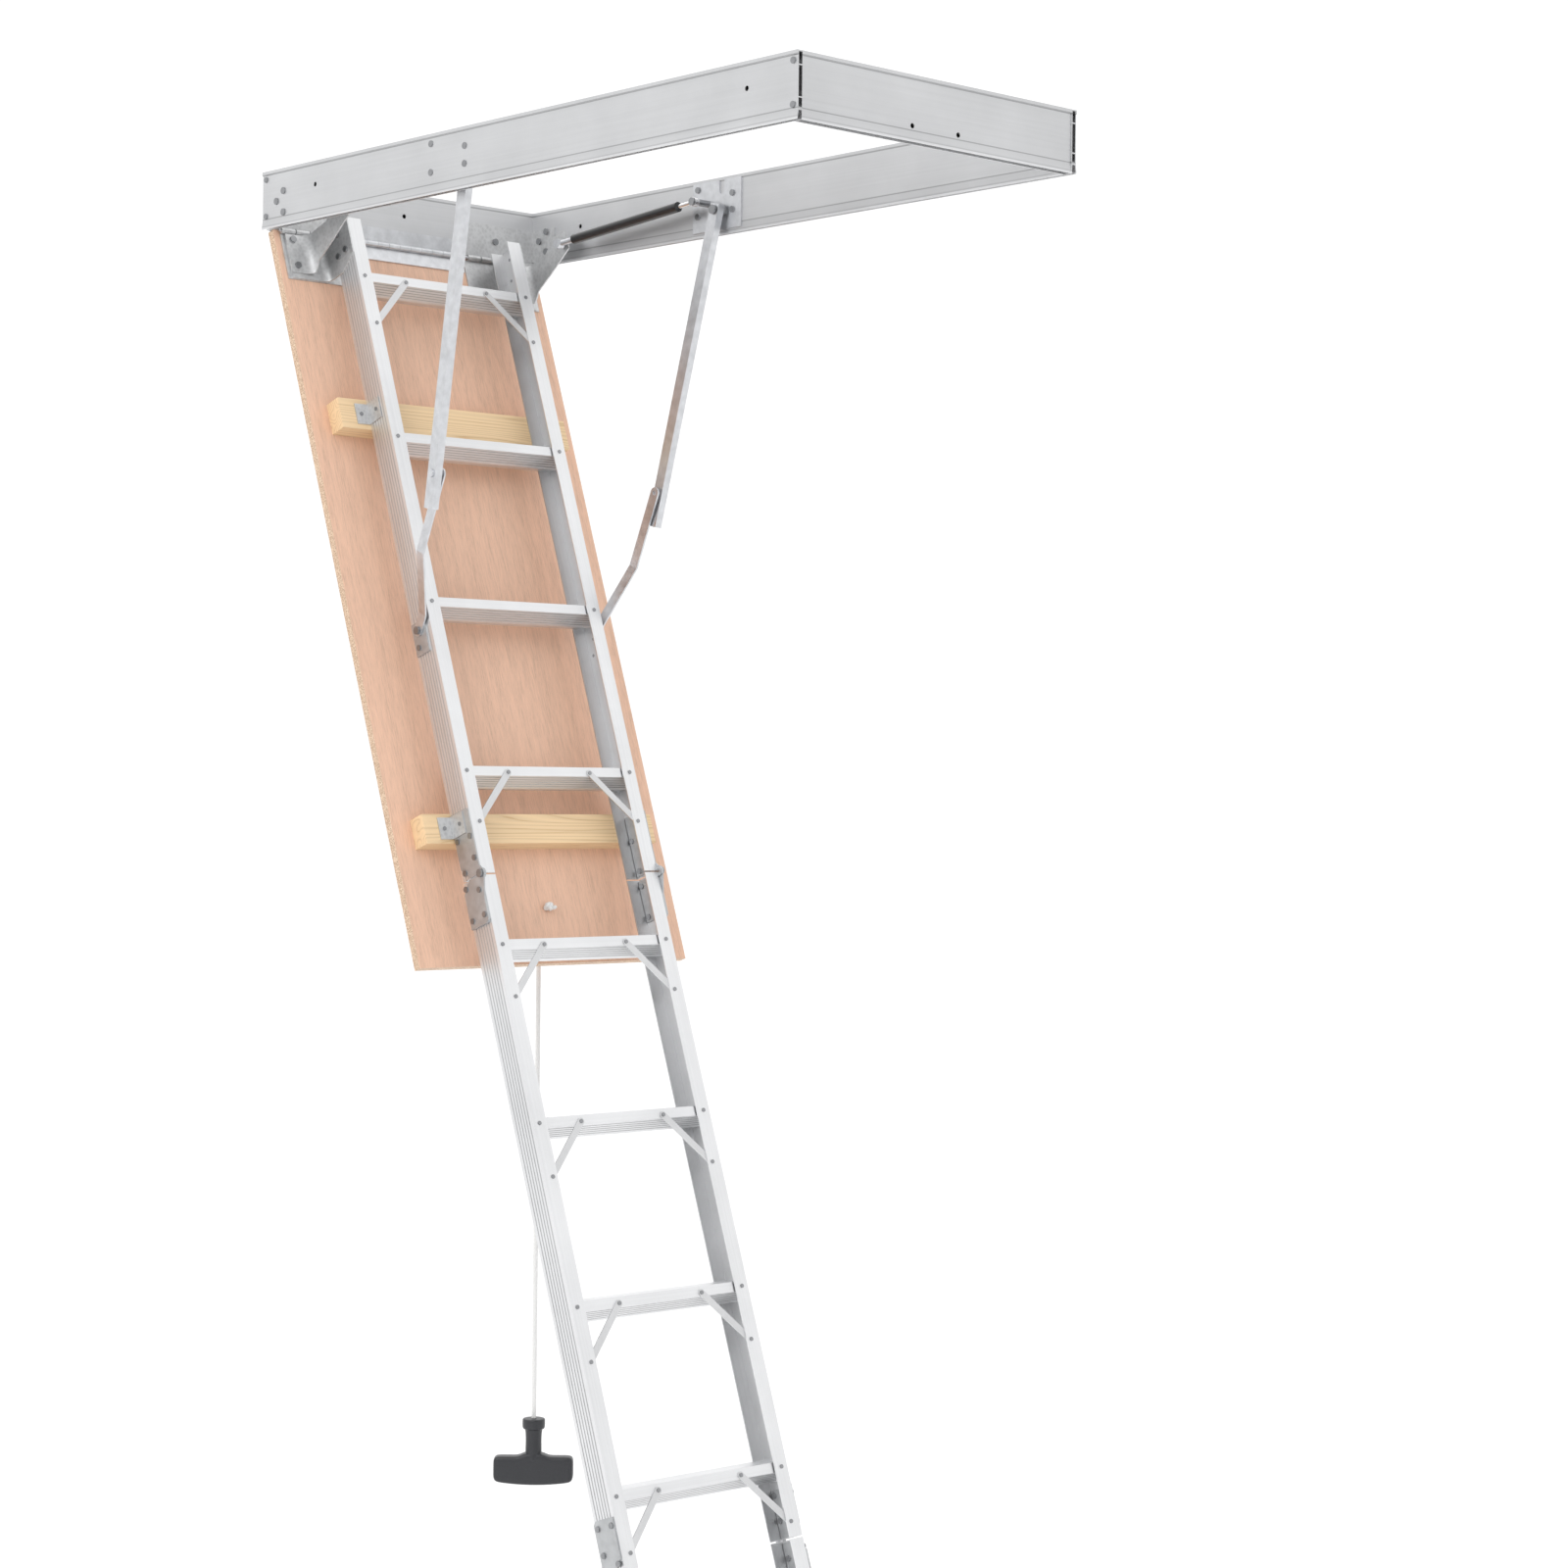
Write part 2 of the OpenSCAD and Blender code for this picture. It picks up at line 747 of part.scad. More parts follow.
module stile_lower(side) {
  color("gainsboro") leaf() on(side) stile(lower, treads_l, braced_lower)
    plate_bores(pivot_ml, ml_bolts_low);
}

module stile_upper_l() {
  stile_upper("l");
}

module stile_upper_r() {
  stile_upper("r");
}

module stile_middle_l() {
  stile_middle("l");
}

module stile_middle_r() {
  stile_middle("r");
}

module stile_lower_l() {
  stile_lower("l");
}

module stile_lower_r() {
  stile_lower("r");
}

// Hollow tread section: plain front band, grooved sloping face below it, flat top behind
module tread_section() {
  t = tread_t;
  lead = -tread_lead;
  slant = (tread_toe - tread_band) / 30;
  translate([lead, tread_q]) mirror([0, 1]) difference() {
    polygon([[0, 0], [tread_band, 0], [tread_toe, 30], [tread_toe - 3, tread_back],
             [-tread_rise, tread_back]]);
    polygon([[t, t], [tread_band - t, t], [tread_toe - 2 * t, 30], [tread_toe - 3 - 2 * t, tread_back - t],
             [t - tread_rise, tread_back - t]]);
    for (i = [0:4]) translate([tread_band + slant * (4 + 5 * i) + 0.3, 4 + 5 * i]) circle(r = 0.8);
  }
}

module tread_set(treads, braced) {
  color("gainsboro") leaf() difference() {
    tread_places(treads) y_slab(-web_in, web_in) tread_section();
    both() tread_places(treads) translate([0, rivet_y, tread_q - tread_t - cut])
      cylinder(r = rivet_r, h = tread_t + 2 * cut);
    both() brace_places(braced, 0) translate([0, 0, tread_q - tread_t - cut])
      cylinder(r = rivet_r, h = tread_t + 2 * cut);
  }
}

module treads_upper() {
  tread_set(treads_u, braced_upper);
}

module treads_middle() {
  tread_set(treads_m, braced_middle);
}

module treads_lower() {
  tread_set(treads_l, braced_lower);
}

// Flat bars from treads to stiles, lying on the treads and behind the stile flanges
module brace_set(braced) {
  run = [brace_p[1] - brace_p[0], brace_y[1] - brace_y[0]];
  color("gainsboro") leaf() both() for (k = braced)
    translate([tread_at(k) + brace_p[0], brace_y[0], tread_q]) rotate([0, 0, atan2(run[1], run[0])])
      linear_extrude(collar_h) difference() {
        union() {
          translate([0, -brace_w / 2]) square([norm(run), brace_w]);
          circle(d = brace_w);
          translate([norm(run), 0]) circle(d = brace_w);
        }
        circle(r = rivet_r);
        translate([norm(run), 0]) circle(r = rivet_r);
      }
}

module braces_upper() {
  brace_set(braced_upper);
}

module braces_middle() {
  brace_set(braced_middle);
}

module braces_lower() {
  brace_set(braced_lower);
}

// Outline of a hinge plate above its pivot: dir is 1 for a pivot at the front, -1 at the back
module plate_outline(p, back, dir) {
  q_far = dir > 0 ? stile_q + 2 : front_q - 2;
  q_near = dir > 0 ? front_q : stile_q;
  polygon([[p[0] - back, q_near - dir * 6], [p[0] - back + 6, q_near], [p[0] - 1.5, q_near],
           [p[0] - 1.5, q_far + dir * 20], [p[0] - 22, q_far], [p[0] - back, q_far]]);
  translate(p) circle(r = lobe_r);
  polygon([[p[0] - 16, q_near], [p[0], p[1] + dir * lobe_r], p, [p[0] - 1.5, q_near - dir * 6],
           [p[0] - 16, q_near - dir * 6]]);
}

// The same outline below the pivot
module plate_outline_low(p, length, dir) {
  q_far = dir > 0 ? stile_q + 2 : front_q - 2;
  q_near = dir > 0 ? front_q : stile_q;
  polygon([[p[0] + length, q_near - dir * 6], [p[0] + length - 6, q_near], [p[0] + 1.5, q_near],
           [p[0] + 1.5, q_far + dir * 20], [p[0] + 22, q_far], [p[0] + length, q_far]]);
}

// Lobe of the lower plate, laid over the lobe of the upper one
module plate_lobe_low(p, dir) {
  q_near = dir > 0 ? front_q : stile_q;
  translate(p) circle(r = lobe_r);
  polygon([[p[0] + 40, q_near], [p[0], p[1] + dir * lobe_r], p, [p[0] + 1.5, q_near - dir * 4],
           [p[0] + 12, q_near - dir * 40], [p[0] + 40, q_near - dir * 40]]);
}

// Plates above a pivot: one outside the web and one inside it
module hinge_plate(p, back, dir, bolts) {
  difference() {
    y_slab(half_w, outer_q) plate_outline(p, back, dir);
    plate_bores(p, bolts);
    translate([p[0], 0, p[1]]) y_bar(half_w - cut, outer_q + cut, pivot_r);
  }
  difference() {
    block([p[0] - back + 4, web_in - stile_t, stile_q + stile_t + 1],
          [p[0] - 4, web_in, front_q - stile_t - 1]);
    plate_bores(p, bolts);
  }
}

// Plates below a pivot: a doubled plate outside the web and a single one inside it
module hinge_plate_low(p, length, dir, bolts) {
  difference() {
    union() {
      y_slab(half_w, far_q) difference() {
        plate_outline_low(p, length, dir);
        translate(p) circle(r = lobe_clear);
      }
      y_slab(far_q, far_q + plate_t) {
        plate_outline_low(p, length, dir);
        plate_lobe_low(p, dir);
      }
    }
    plate_bores(p, bolts);
    translate([p[0], 0, p[1]]) y_bar(half_w - cut, far_q + plate_t + cut, pivot_r + fit);
  }
  difference() {
    block([p[0] + 4, web_in - stile_t, stile_q + stile_t + 1],
          [p[0] + length - 4, web_in, front_q - stile_t - 1]);
    plate_bores(p, bolts);
  }
}

// Small plate behind the foot of a folding-arm link
module link_plate() {
  difference() {
    block([link_local[0] - 16, half_w, link_local[1] - 19], [link_local[0] + 42, outer_q, link_local[1] + 17]);
    plate_bores(link_local, [[0, 0], link_bolt]);
  }
}

module plates_upper() {
  color("silver") leaf() both() difference() {
    union() {
      hinge_plate(pivot_um, plate_back, 1, um_bolts);
      link_plate();
    }
    batten_bores();
  }
}

module plates_middle() {
  color("silver") leaf() both() {
    hinge_plate_low(pivot_um, plate_front, 1, um_bolts_low);
    hinge_plate(pivot_ml, plate_end, -1, ml_bolts);
  }
}

module plates_lower() {
  color("silver") leaf() both() hinge_plate_low(pivot_ml, plate_end, -1, ml_bolts_low);
}

// Tread and brace rivets of a section
module section_rivets(treads, braced) {
  both() {
    tread_places(treads) translate([0, rivet_y, 0]) {
      translate([0, 0, tread_q - tread_t]) cylinder(r = rivet_r, h = front_q - tread_q + tread_t);
      translate([0, 0, tread_q]) cylinder(r = collar_r, h = collar_h);
      translate([0, 0, front_q]) cylinder(r = rivet_head_r, h = rivet_head_h);
    }
    brace_places(braced, 0) {
      translate([0, 0, tread_q - tread_t]) cylinder(r = rivet_r, h = tread_t + collar_h);
      translate([0, 0, tread_q + collar_h]) cylinder(r = rivet_head_r, h = rivet_head_h);
    }
    brace_places(braced, 1) {
      translate([0, 0, tread_q]) cylinder(r = rivet_r, h = front_q - tread_q);
      translate([0, 0, front_q]) cylinder(r = rivet_head_r, h = rivet_head_h);
    }
  }
}

// Rivets through web and plates, headed at y_top
module plate_rivets(p, bolts, y_top) {
  plate_places(p, bolts) {
    y_bar(web_in - stile_t, y_top, plate_rivet_r);
    y_bar(y_top, y_top + plate_head_h, plate_head_r);
    y_bar(web_in - stile_t - plate_head_h, web_in - stile_t, plate_head_r);
  }
}

// Pivot pin of a section hinge, fast in the plate above it
module pivot_pin(p) {
  translate([p[0], 0, p[1]]) {
    y_bar(half_w, far_q + plate_t + pin_gap, pivot_r);
    y_bar(far_q + plate_t + pin_gap, far_q + plate_t + pin_gap + pin_head_h, pin_head_r);
  }
}

module rivets_upper() {
  color("silver") leaf() {
    section_rivets(treads_u, braced_upper);
    both() {
      plate_rivets(pivot_um, um_bolts, outer_q);
      pivot_pin(pivot_um);
      translate([link_local[0], 0, link_local[1]]) {
        y_bar(web_in, link_y + link_t + pin_gap, plate_rivet_r);
        y_bar(link_y + link_t + pin_gap, link_y + link_t + pin_gap + pin_head_h, pin_head_r);
      }
      translate([link_local[0] + link_bolt[0], 0, link_local[1] + link_bolt[1]]) {
        y_bar(web_in, outer_q, plate_rivet_r);
        y_bar(outer_q, outer_q + plate_head_h, plate_head_r);
      }
    }
  }
}

module rivets_middle() {
  color("silver") leaf() {
    section_rivets(treads_m, braced_middle);
    both() {
      plate_rivets(pivot_um, um_bolts_low, far_q + plate_t);
      plate_rivets(pivot_ml, ml_bolts, outer_q);
      pivot_pin(pivot_ml);
    }
  }
}

module rivets_lower() {
  color("silver") leaf() {
    section_rivets(treads_l, braced_lower);
    both() plate_rivets(pivot_ml, ml_bolts_low, far_q + plate_t);
  }
}

// Sleeve channel of a leg, outside the stile
module leg_section() {
  y0 = half_w + gap;
  y1 = half_w + gap + stile_t;
  q0 = stile_q - gap - stile_t;
  q1 = front_q + gap;
  translate([y0, q0]) square([stile_t, q1 + stile_t - q0]);
  translate([half_w - flange_w, q0]) square([y1 - half_w + flange_w, stile_t]);
  translate([leg_flange, q1]) square([y1 - leg_flange, stile_t]);
}

// Rows of holes in a leg wall, with or without a bolt
module leg_row_places(bolted) {
  for (r = leg_rows) if (r[1] == bolted) for (q = leg_row_q) translate([r[0], 0, stile_q + q]) children();
}

module leg(side) {
  color("gainsboro") leaf() on(side) difference() {
    x_run(leg_top, leg_end) leg_section();
    leg_row_places(false) y_bar(half_w - cut, half_w + gap + stile_t + cut, leg_hole_r);
    leg_row_places(true) y_bar(half_w - cut, half_w + gap + stile_t + cut, bolt_r);
  }
}

module leg_l() {
  leg("l");
}

module leg_r() {
  leg("r");
}

module leg_bolts(side) {
  y = half_w + gap;
  color("silver") leaf() on(side) leg_row_places(true) {
    y_bar(y, y + stile_t, bolt_r);
    y_bar(y + stile_t, y + stile_t + bolt_head_h, bolt_head_r - 1);
  }
}

module leg_bolts_l() {
  leg_bolts("l");
}

module leg_bolts_r() {
  leg_bolts("r");
}

module foot(side) {
  color("dimgray") leaf() on(side) difference() {
    y_slab(foot_in_y, foot_out_y) translate([foot_top, 0]) polygon(foot_out);
    x_run(foot_top - cut, leg_end) leg_section();
    translate([foot_top + foot_hole[0], 0, foot_hole[1]]) y_bar(foot_out_y - 8, foot_out_y + cut, 6);
  }
}

module foot_l() {
  foot("l");
}

module foot_r() {
  foot("r");
}

// Square folding-arm tube from its frame pin past the knee
module arm(side) {
  y = knee[1] - arm_top[1];
  color("silver") on(side) translate(arm_top) rotate([0, arm_turn, 0]) {
    difference() {
      rotate([0, 0, arm_tilt]) difference() {
        block([-arm_tube_d / 2, -arm_tube_w / 2, -arm_tube_d / 2],
              [knee_len + arm_over, arm_tube_w / 2, arm_tube_d / 2]);
        block([-arm_tube_d / 2 - cut, arm_wall - arm_tube_w / 2, arm_wall - arm_tube_d / 2],
              [knee_len + arm_over + cut, arm_tube_w / 2 - arm_wall, arm_tube_d / 2 - arm_wall]);
      }
      y_bar(-arm_tube_w, arm_tube_w, pivot_r + 1 + fit);
    }
    translate([knee_len, y, 0]) {
      y_bar(1 - arm_drop - arm_tube_w / 2 - knee_gap, arm_tube_w / 2 + 1, pivot_r);
      y_bar(arm_tube_w / 2, arm_tube_w / 2 + 3, pin_head_r);
    }
  }
}

module arm_l() {
  arm("l");
}

module arm_r() {
  arm("r");
}

// Flat link from the stile to the knee, bent outward on its way
module link(side) {
  color("silver") on(side) translate([link_foot[0], 0, link_foot[1]]) rotate([0, link_turn, 0])
    difference() {
      intersection() {
        linear_extrude(link_w, center = true) polygon([
          [-link_w, link_y], [link_flat, link_y], [link_bend, link_top_y], [link_len + link_w, link_top_y],
          [link_len + link_w, link_top_y + link_t], [link_bend, link_top_y + link_t],
          [link_flat, link_y + link_t], [-link_w, link_y + link_t]]);
        union() {
          block([0, 0, -link_w / 2], [link_len, frame_w, link_w / 2]);
          y_bar(0, frame_w, link_w / 2);
          translate([link_len, 0, 0]) y_bar(0, frame_w, link_w / 2);
        }
      }
      y_bar(0, frame_w, plate_rivet_r + fit);
      translate([link_len, 0, 0]) y_bar(0, frame_w, pivot_r + fit);
    }
}

module link_l() {
  link("l");
}

module link_r() {
  link("r");
}

// Places its children along a strut: X from the door ear to the frame pin
module strut_space(side) {
  on(side) translate([strut_foot[0], strut_y, strut_foot[1]]) rotate([0, strut_turn, 0]) children();
}

// A round bar along X from x0 to x1
module x_bar(x0, x1, r) {
  translate([x0, 0, 0]) rotate([0, 90, 0]) cylinder(r = r, h = x1 - x0);
}

module strut_tube_of(side) {
  color("black") strut_space(side) difference() {
    x_bar(strut_tube[0], strut_tube[1], strut_r);
    x_bar(strut_tube[0] + 6, strut_tube[1] - 4, strut_r - strut_wall);
    x_bar(strut_tube[1] - 5, strut_tube[1] + cut, strut_rod_r + fit);
  }
}

module strut_tube_l() {
  strut_tube_of("l");
}

module strut_tube_r() {
  strut_tube_of("r");
}

module strut_end(side) {
  color("silver") strut_space(side) {
    y_bar(-ball_half, ball_half, eye_r + 1);
    x_bar(eye_r - 2, strut_tube[0], neck_r);
  }
}

module strut_end_l() {
  strut_end("l");
}

module strut_end_r() {
  strut_end("r");
}

module strut_rod(side) {
  color("silver") strut_space(side) difference() {
    union() {
      x_bar(piston_at, strut_len - eye_r + 2, strut_rod_r);
      x_bar(piston_at, piston_at + piston_l, strut_r - strut_wall - gap);
      translate([strut_len, 0, 0]) y_bar(-eye_half, eye_half, eye_r);
    }
    translate([strut_len, 0, 0]) y_bar(-eye_half - cut, eye_half + cut, pivot_r + fit);
  }
}

module strut_rod_l() {
  strut_rod("l");
}

module strut_rod_r() {
  strut_rod("r");
}

// Points at even steps along the cord route, its own corners kept
function cord_leg(a, b) = let (n = max(1, ceil(norm(b - a) / cord_step))) [for (i = [0:n - 1]) a + (b - a) * i / n];
function cord_path() = concat([for (i = [0:len(cord_route) - 2]) each cord_leg(cord_route[i], cord_route[i + 1])],
                              [cord_route[len(cord_route) - 1]]);
function cord_turn(path, i) =
  let (a = path[max(i - 1, 0)], b = path[min(i + 1, len(path) - 1)])
  atan2(b[0] - a[0], b[2] - a[2]);

module pull_cord() {
  path = cord_path();
  n = cord_sides;
  rings = [for (i = [0:len(path) - 1]) let (w = cord_turn(path, i)) [for (j = [0:n - 1])
    path[i] + cord_r * [cos(w) * cos(360 * j / n), sin(360 * j / n), -sin(w) * cos(360 * j / n)]]];
  sides = [for (i = [0:len(path) - 2]) for (j = [0:n - 1])
    [i * n + j, i * n + (j + 1) % n, (i + 1) * n + (j + 1) % n, (i + 1) * n + j]];
  first = [for (j = [n - 1:-1:0]) j];
  last = [for (j = [0:n - 1]) (len(path) - 1) * n + j];
  color("white") polyhedron(points = [for (ring = rings) each ring], faces = concat([first], sides, [last]));
}

module pull_handle() {
  top = -collar_len - handle_neck_l;
  color("dimgray") translate(handle_at) rotate([0, 0, handle_turn]) {
    translate([0, 0, -collar_len]) cylinder(r = collar_top_r, h = collar_len);
    translate([0, 0, top - 5]) cylinder(r = handle_neck_r, h = handle_neck_l + 5);
    y_slab(-bar_t / 2, bar_t / 2) intersection() {
      translate([-handle_l / 2, top - bar_h - bar_sag]) square([handle_l, bar_h + bar_sag]);
      translate([0, top - bar_h - bar_sag + 400]) circle(r = 400, $fn = 180);
    }
  }
}

board_left();
board_right();
board_hinge();
board_free();
frame_screws();
fixed_plates();
hinge_leaf_fixed();
hinge_pin();
plate_bolts();
arm_plates();
arm_rivets();
frame_pins();
door_panel();
hinge_leaf_door();
door_plates();
stile_brackets();
strut_brackets();
bracket_bolts();
battens();
batten_brackets();
batten_screws();
cord_knot();
stile_upper_l();
stile_upper_r();
treads_upper();
braces_upper();
plates_upper();
rivets_upper();
stile_middle_l();
stile_middle_r();
treads_middle();
braces_middle();
plates_middle();
rivets_middle();
stile_lower_l();
stile_lower_r();
treads_lower();
braces_lower();
plates_lower();
rivets_lower();
leg_l();
leg_r();
leg_bolts_l();
leg_bolts_r();
foot_l();
foot_r();
arm_l();
arm_r();
link_l();
link_r();
strut_tube_l();
strut_tube_r();
strut_end_l();
strut_end_r();
strut_rod_l();
strut_rod_r();
pull_cord();
pull_handle();
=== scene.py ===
"""Looks of an attic ladder: its metals, door board, pine, cord, handle and feet, and its studio."""
import json
import math

import bmesh
import bpy
import numpy as np
from mathutils import Matrix, Vector


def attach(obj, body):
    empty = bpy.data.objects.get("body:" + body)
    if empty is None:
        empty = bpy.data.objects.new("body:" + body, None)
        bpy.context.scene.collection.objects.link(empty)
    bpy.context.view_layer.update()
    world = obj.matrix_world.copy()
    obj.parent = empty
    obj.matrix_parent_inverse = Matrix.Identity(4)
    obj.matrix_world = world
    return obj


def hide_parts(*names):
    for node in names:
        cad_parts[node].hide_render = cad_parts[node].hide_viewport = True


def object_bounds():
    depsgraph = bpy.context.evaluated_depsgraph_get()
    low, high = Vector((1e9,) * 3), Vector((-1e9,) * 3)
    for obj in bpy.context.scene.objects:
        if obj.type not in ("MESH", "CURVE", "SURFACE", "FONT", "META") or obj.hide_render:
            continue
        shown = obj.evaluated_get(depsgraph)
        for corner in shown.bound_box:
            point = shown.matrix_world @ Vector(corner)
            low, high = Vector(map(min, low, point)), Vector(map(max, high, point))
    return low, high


bl_info = {
    "name": "Attic ladder",
    "version": (1, 0, 0),
    "blender": (4, 5, 0),
    "location": "3D View > Sidebar > Ladder",
    "description": "Finishes the packed attic ladder and sets up its studio",
    "category": "Object",
}

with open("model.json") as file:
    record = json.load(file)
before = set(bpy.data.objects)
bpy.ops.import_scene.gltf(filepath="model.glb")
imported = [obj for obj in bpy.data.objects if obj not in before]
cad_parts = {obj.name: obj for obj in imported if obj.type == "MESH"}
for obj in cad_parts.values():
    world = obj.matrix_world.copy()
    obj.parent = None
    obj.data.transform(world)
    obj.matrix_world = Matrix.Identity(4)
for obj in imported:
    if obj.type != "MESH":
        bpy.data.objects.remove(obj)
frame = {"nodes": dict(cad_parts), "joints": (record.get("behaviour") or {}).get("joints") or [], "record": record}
CAD_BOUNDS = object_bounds()
JOINTS = {j["name"]: j for j in frame["joints"]}

# Leaf space lies on the open door: down the slope, across, and out to the front
HINGE = np.array(JOINTS["door_hinge"]["pos_m"])
UP_SLOPE = np.array(JOINTS["leg_slide_l"]["axis"])
DOWN = -UP_SLOPE
ACROSS = np.array([0.0, 1.0, 0.0])
OUT = np.cross(DOWN, ACROSS)
SLOPE = math.atan2(-DOWN[2], DOWN[0])

# Points of the hanging cord, in metres, from the door to the handle, and the handle's turn
CORD_ROUTE = [(0.4205, 0.0, z) for z in (
    -1.183, -1.2, -1.22, -1.25, -1.3, -1.37, -1.44, -1.51, -1.58, -1.65, -1.72, -1.79, -1.86,
    -1.93, -2.0, -2.054)]
HANDLE_TURN = math.radians(47)

# Where the cord's hole lies down the door, and the door board's middle and half thickness
HOLE_DOWN = 1.246
DOOR_MIDDLE = -0.0132
DOOR_HALF = 0.0075

# Height of the frame, and the first tread and the pitch down the slope
FRAME_TALL = 0.1
FIRST_TREAD = 0.113
TREAD_PITCH = 0.3049

# Painted light up a board's height: a painted highlight on the bead, and painted shade at the foot of the skirt,
# at the skirt's top, and under the top lip
BOARD_PAINTED_LIGHT = (
    (0.0, 1.18), (0.03, 1.12), (0.036, 0.8), (0.05, 0.8), (0.06, 0.95), (0.158, 0.93),
    (0.164, 0.62), (0.176, 0.62), (0.182, 0.985), (0.922, 1.0), (0.928, 0.60), (0.948, 0.66),
    (0.954, 1.0))

# Outer side and web of a stile: how far across each starts, and how far out the web ends
STILE_OUTSIDE = 0.1902
STILE_INSIDE = 0.1895
WEB_END = 0.0775

# Grooves along the leaf's depth: where they start, their step, their number and their width
STILE_GROOVES = (0.033, 0.007, 6, 0.0025)
TREAD_GROOVES = (0.0495, 0.005, 5, 0.0017)
TREAD_LEAD = 0.02
TREAD_BELOW = 0.0265

# Doubles nearer than this are merged, and edges sharper than this are rounded
WELD = 1e-5
SHARP = math.radians(32)


def leaf(points):
    """Carries points from leaf space to the row frame: hinge + a * DOWN + b * ACROSS + c * OUT."""
    points = np.asarray(points, float)
    return HINGE + points[..., :1] * DOWN + points[..., 1:2] * ACROSS + points[..., 2:] * OUT


class LadderFinish(bpy.types.PropertyGroup):
    """Colours and textures of the metals and the boards."""
    boards: bpy.props.FloatVectorProperty(
        name="Frame aluminium", description="Colour of the hatch frame's boards", subtype="COLOR",
        size=3, min=0, max=1, default=(0.615, 0.62, 0.63))
    aluminium: bpy.props.FloatVectorProperty(
        name="Ladder aluminium", description="Colour of the stiles, treads and legs",
        subtype="COLOR", size=3, min=0, max=1, default=(0.765, 0.77, 0.78))
    flange: bpy.props.FloatProperty(
        name="Aluminium roughness", description="Roughness of the extruded aluminium",
        min=0.1, max=0.8, default=0.42)
    galvanised: bpy.props.FloatVectorProperty(
        name="Galvanised steel", description="Colour of the brackets and hinge plates",
        subtype="COLOR", size=3, min=0, max=1, default=(0.60, 0.605, 0.61))
    zinc: bpy.props.FloatVectorProperty(
        name="Zinc", description="Colour of the bright plated arms and bolts", subtype="COLOR",
        size=3, min=0, max=1, default=(0.62, 0.63, 0.65))
    rivet: bpy.props.FloatVectorProperty(
        name="Rivets", description="Colour of the rivets, screws and bolts", subtype="COLOR",
        size=3, min=0, max=1, default=(0.30, 0.305, 0.315))
    plate: bpy.props.FloatVectorProperty(
        name="Hinge plates", description="Colour of the plates at the folds", subtype="COLOR",
        size=3, min=0, max=1, default=(0.50, 0.51, 0.52))
    door: bpy.props.FloatVectorProperty(
        name="Door", description="Colour of the door's faces", subtype="COLOR", size=3,
        min=0, max=1, default=(0.74, 0.475, 0.342))
    pine: bpy.props.FloatVectorProperty(
        name="Pine", description="Colour of the battens", subtype="COLOR", size=3,
        min=0, max=1, default=(0.80, 0.59, 0.355))


class LadderCord(bpy.types.PropertyGroup):
    """Sizes of the pull cord, its knot and its handle."""
    radius: bpy.props.FloatProperty(
        name="Cord radius", description="Radius over the braid", unit="LENGTH", default=0.004)
    strands: bpy.props.IntProperty(
        name="Strands", description="Strands that turn each way", min=3, max=8, default=5)
    lay: bpy.props.FloatProperty(
        name="Lay", description="Length in which a strand goes once round", unit="LENGTH",
        default=0.030)
    knot_radius: bpy.props.FloatProperty(
        name="Knot radius", description="Radius over the knot", unit="LENGTH", default=0.009)
    bar_length: bpy.props.FloatProperty(
        name="Handle bar", description="Length of the handle bar", unit="LENGTH", default=0.137)


class LadderStudio(bpy.types.PropertyGroup):
    """Places and strengths of the studio."""
    lens: bpy.props.FloatProperty(
        name="Lens", description="Focal length on a 36 mm sensor, in millimetres", default=75.1)
    roll: bpy.props.FloatProperty(
        name="Roll", description="Turn of the camera about its view", subtype="ANGLE",
        default=math.radians(0.6))
    azimuth: bpy.props.FloatProperty(
        name="Azimuth", description="Camera's bearing round the ladder", subtype="ANGLE",
        default=math.radians(47.2))
    place: bpy.props.FloatVectorProperty(
        name="Camera place", description="Where the camera stands", subtype="XYZ", size=3,
        default=(4.8283, -3.5115, -0.9602))
    sky: bpy.props.FloatProperty(
        name="Sky", description="Strength of the white surround at eye level", default=1.02)
    overhead: bpy.props.FloatProperty(
        name="Overhead", description="How much brighter the surround is overhead", default=0.35)
    shade: bpy.props.FloatProperty(
        name="Shade", description="How much darker the surround is to the front", default=0.42)
    key: bpy.props.FloatProperty(
        name="Key light", description="Power of the key light", subtype="POWER", default=90)


# ---------------------------------------------------------------- meshes

def grid_mesh(name, points, material, caps=True):
    """A mesh from a grid of points P[i, j]: quads join neighbours, and j wraps round.

    With caps, the first and last rows are closed by a fan about their own centres.
    """
    rows, cols = points.shape[:2]
    index = np.arange(rows * cols).reshape(rows, cols)
    a, b = np.meshgrid(np.arange(rows - 1), np.arange(cols), indexing="ij")
    c, d = a + 1, (b + 1) % cols
    quads = np.stack([index[a, b], index[a, d], index[c, d], index[c, b]], -1).reshape(-1, 4)
    vertices = points.reshape(-1, 3)
    faces = quads.tolist()
    if caps:
        ends = np.stack([points[0].mean(0), points[-1].mean(0)])
        vertices = np.vstack([vertices, ends])
        first, last = index[0], index[-1]
        top, bottom = rows * cols, rows * cols + 1
        faces += np.stack([np.full(cols, top), np.roll(first, -1), first], -1).tolist()
        faces += np.stack([np.full(cols, bottom), last, np.roll(last, -1)], -1).tolist()
    mesh = bpy.data.meshes.new(name)
    mesh.from_pydata(vertices.tolist(), [], faces)
    mesh.materials.append(material)
    mesh.polygons.foreach_set("use_smooth", np.ones(len(mesh.polygons), bool))
    mesh.update()
    return mesh


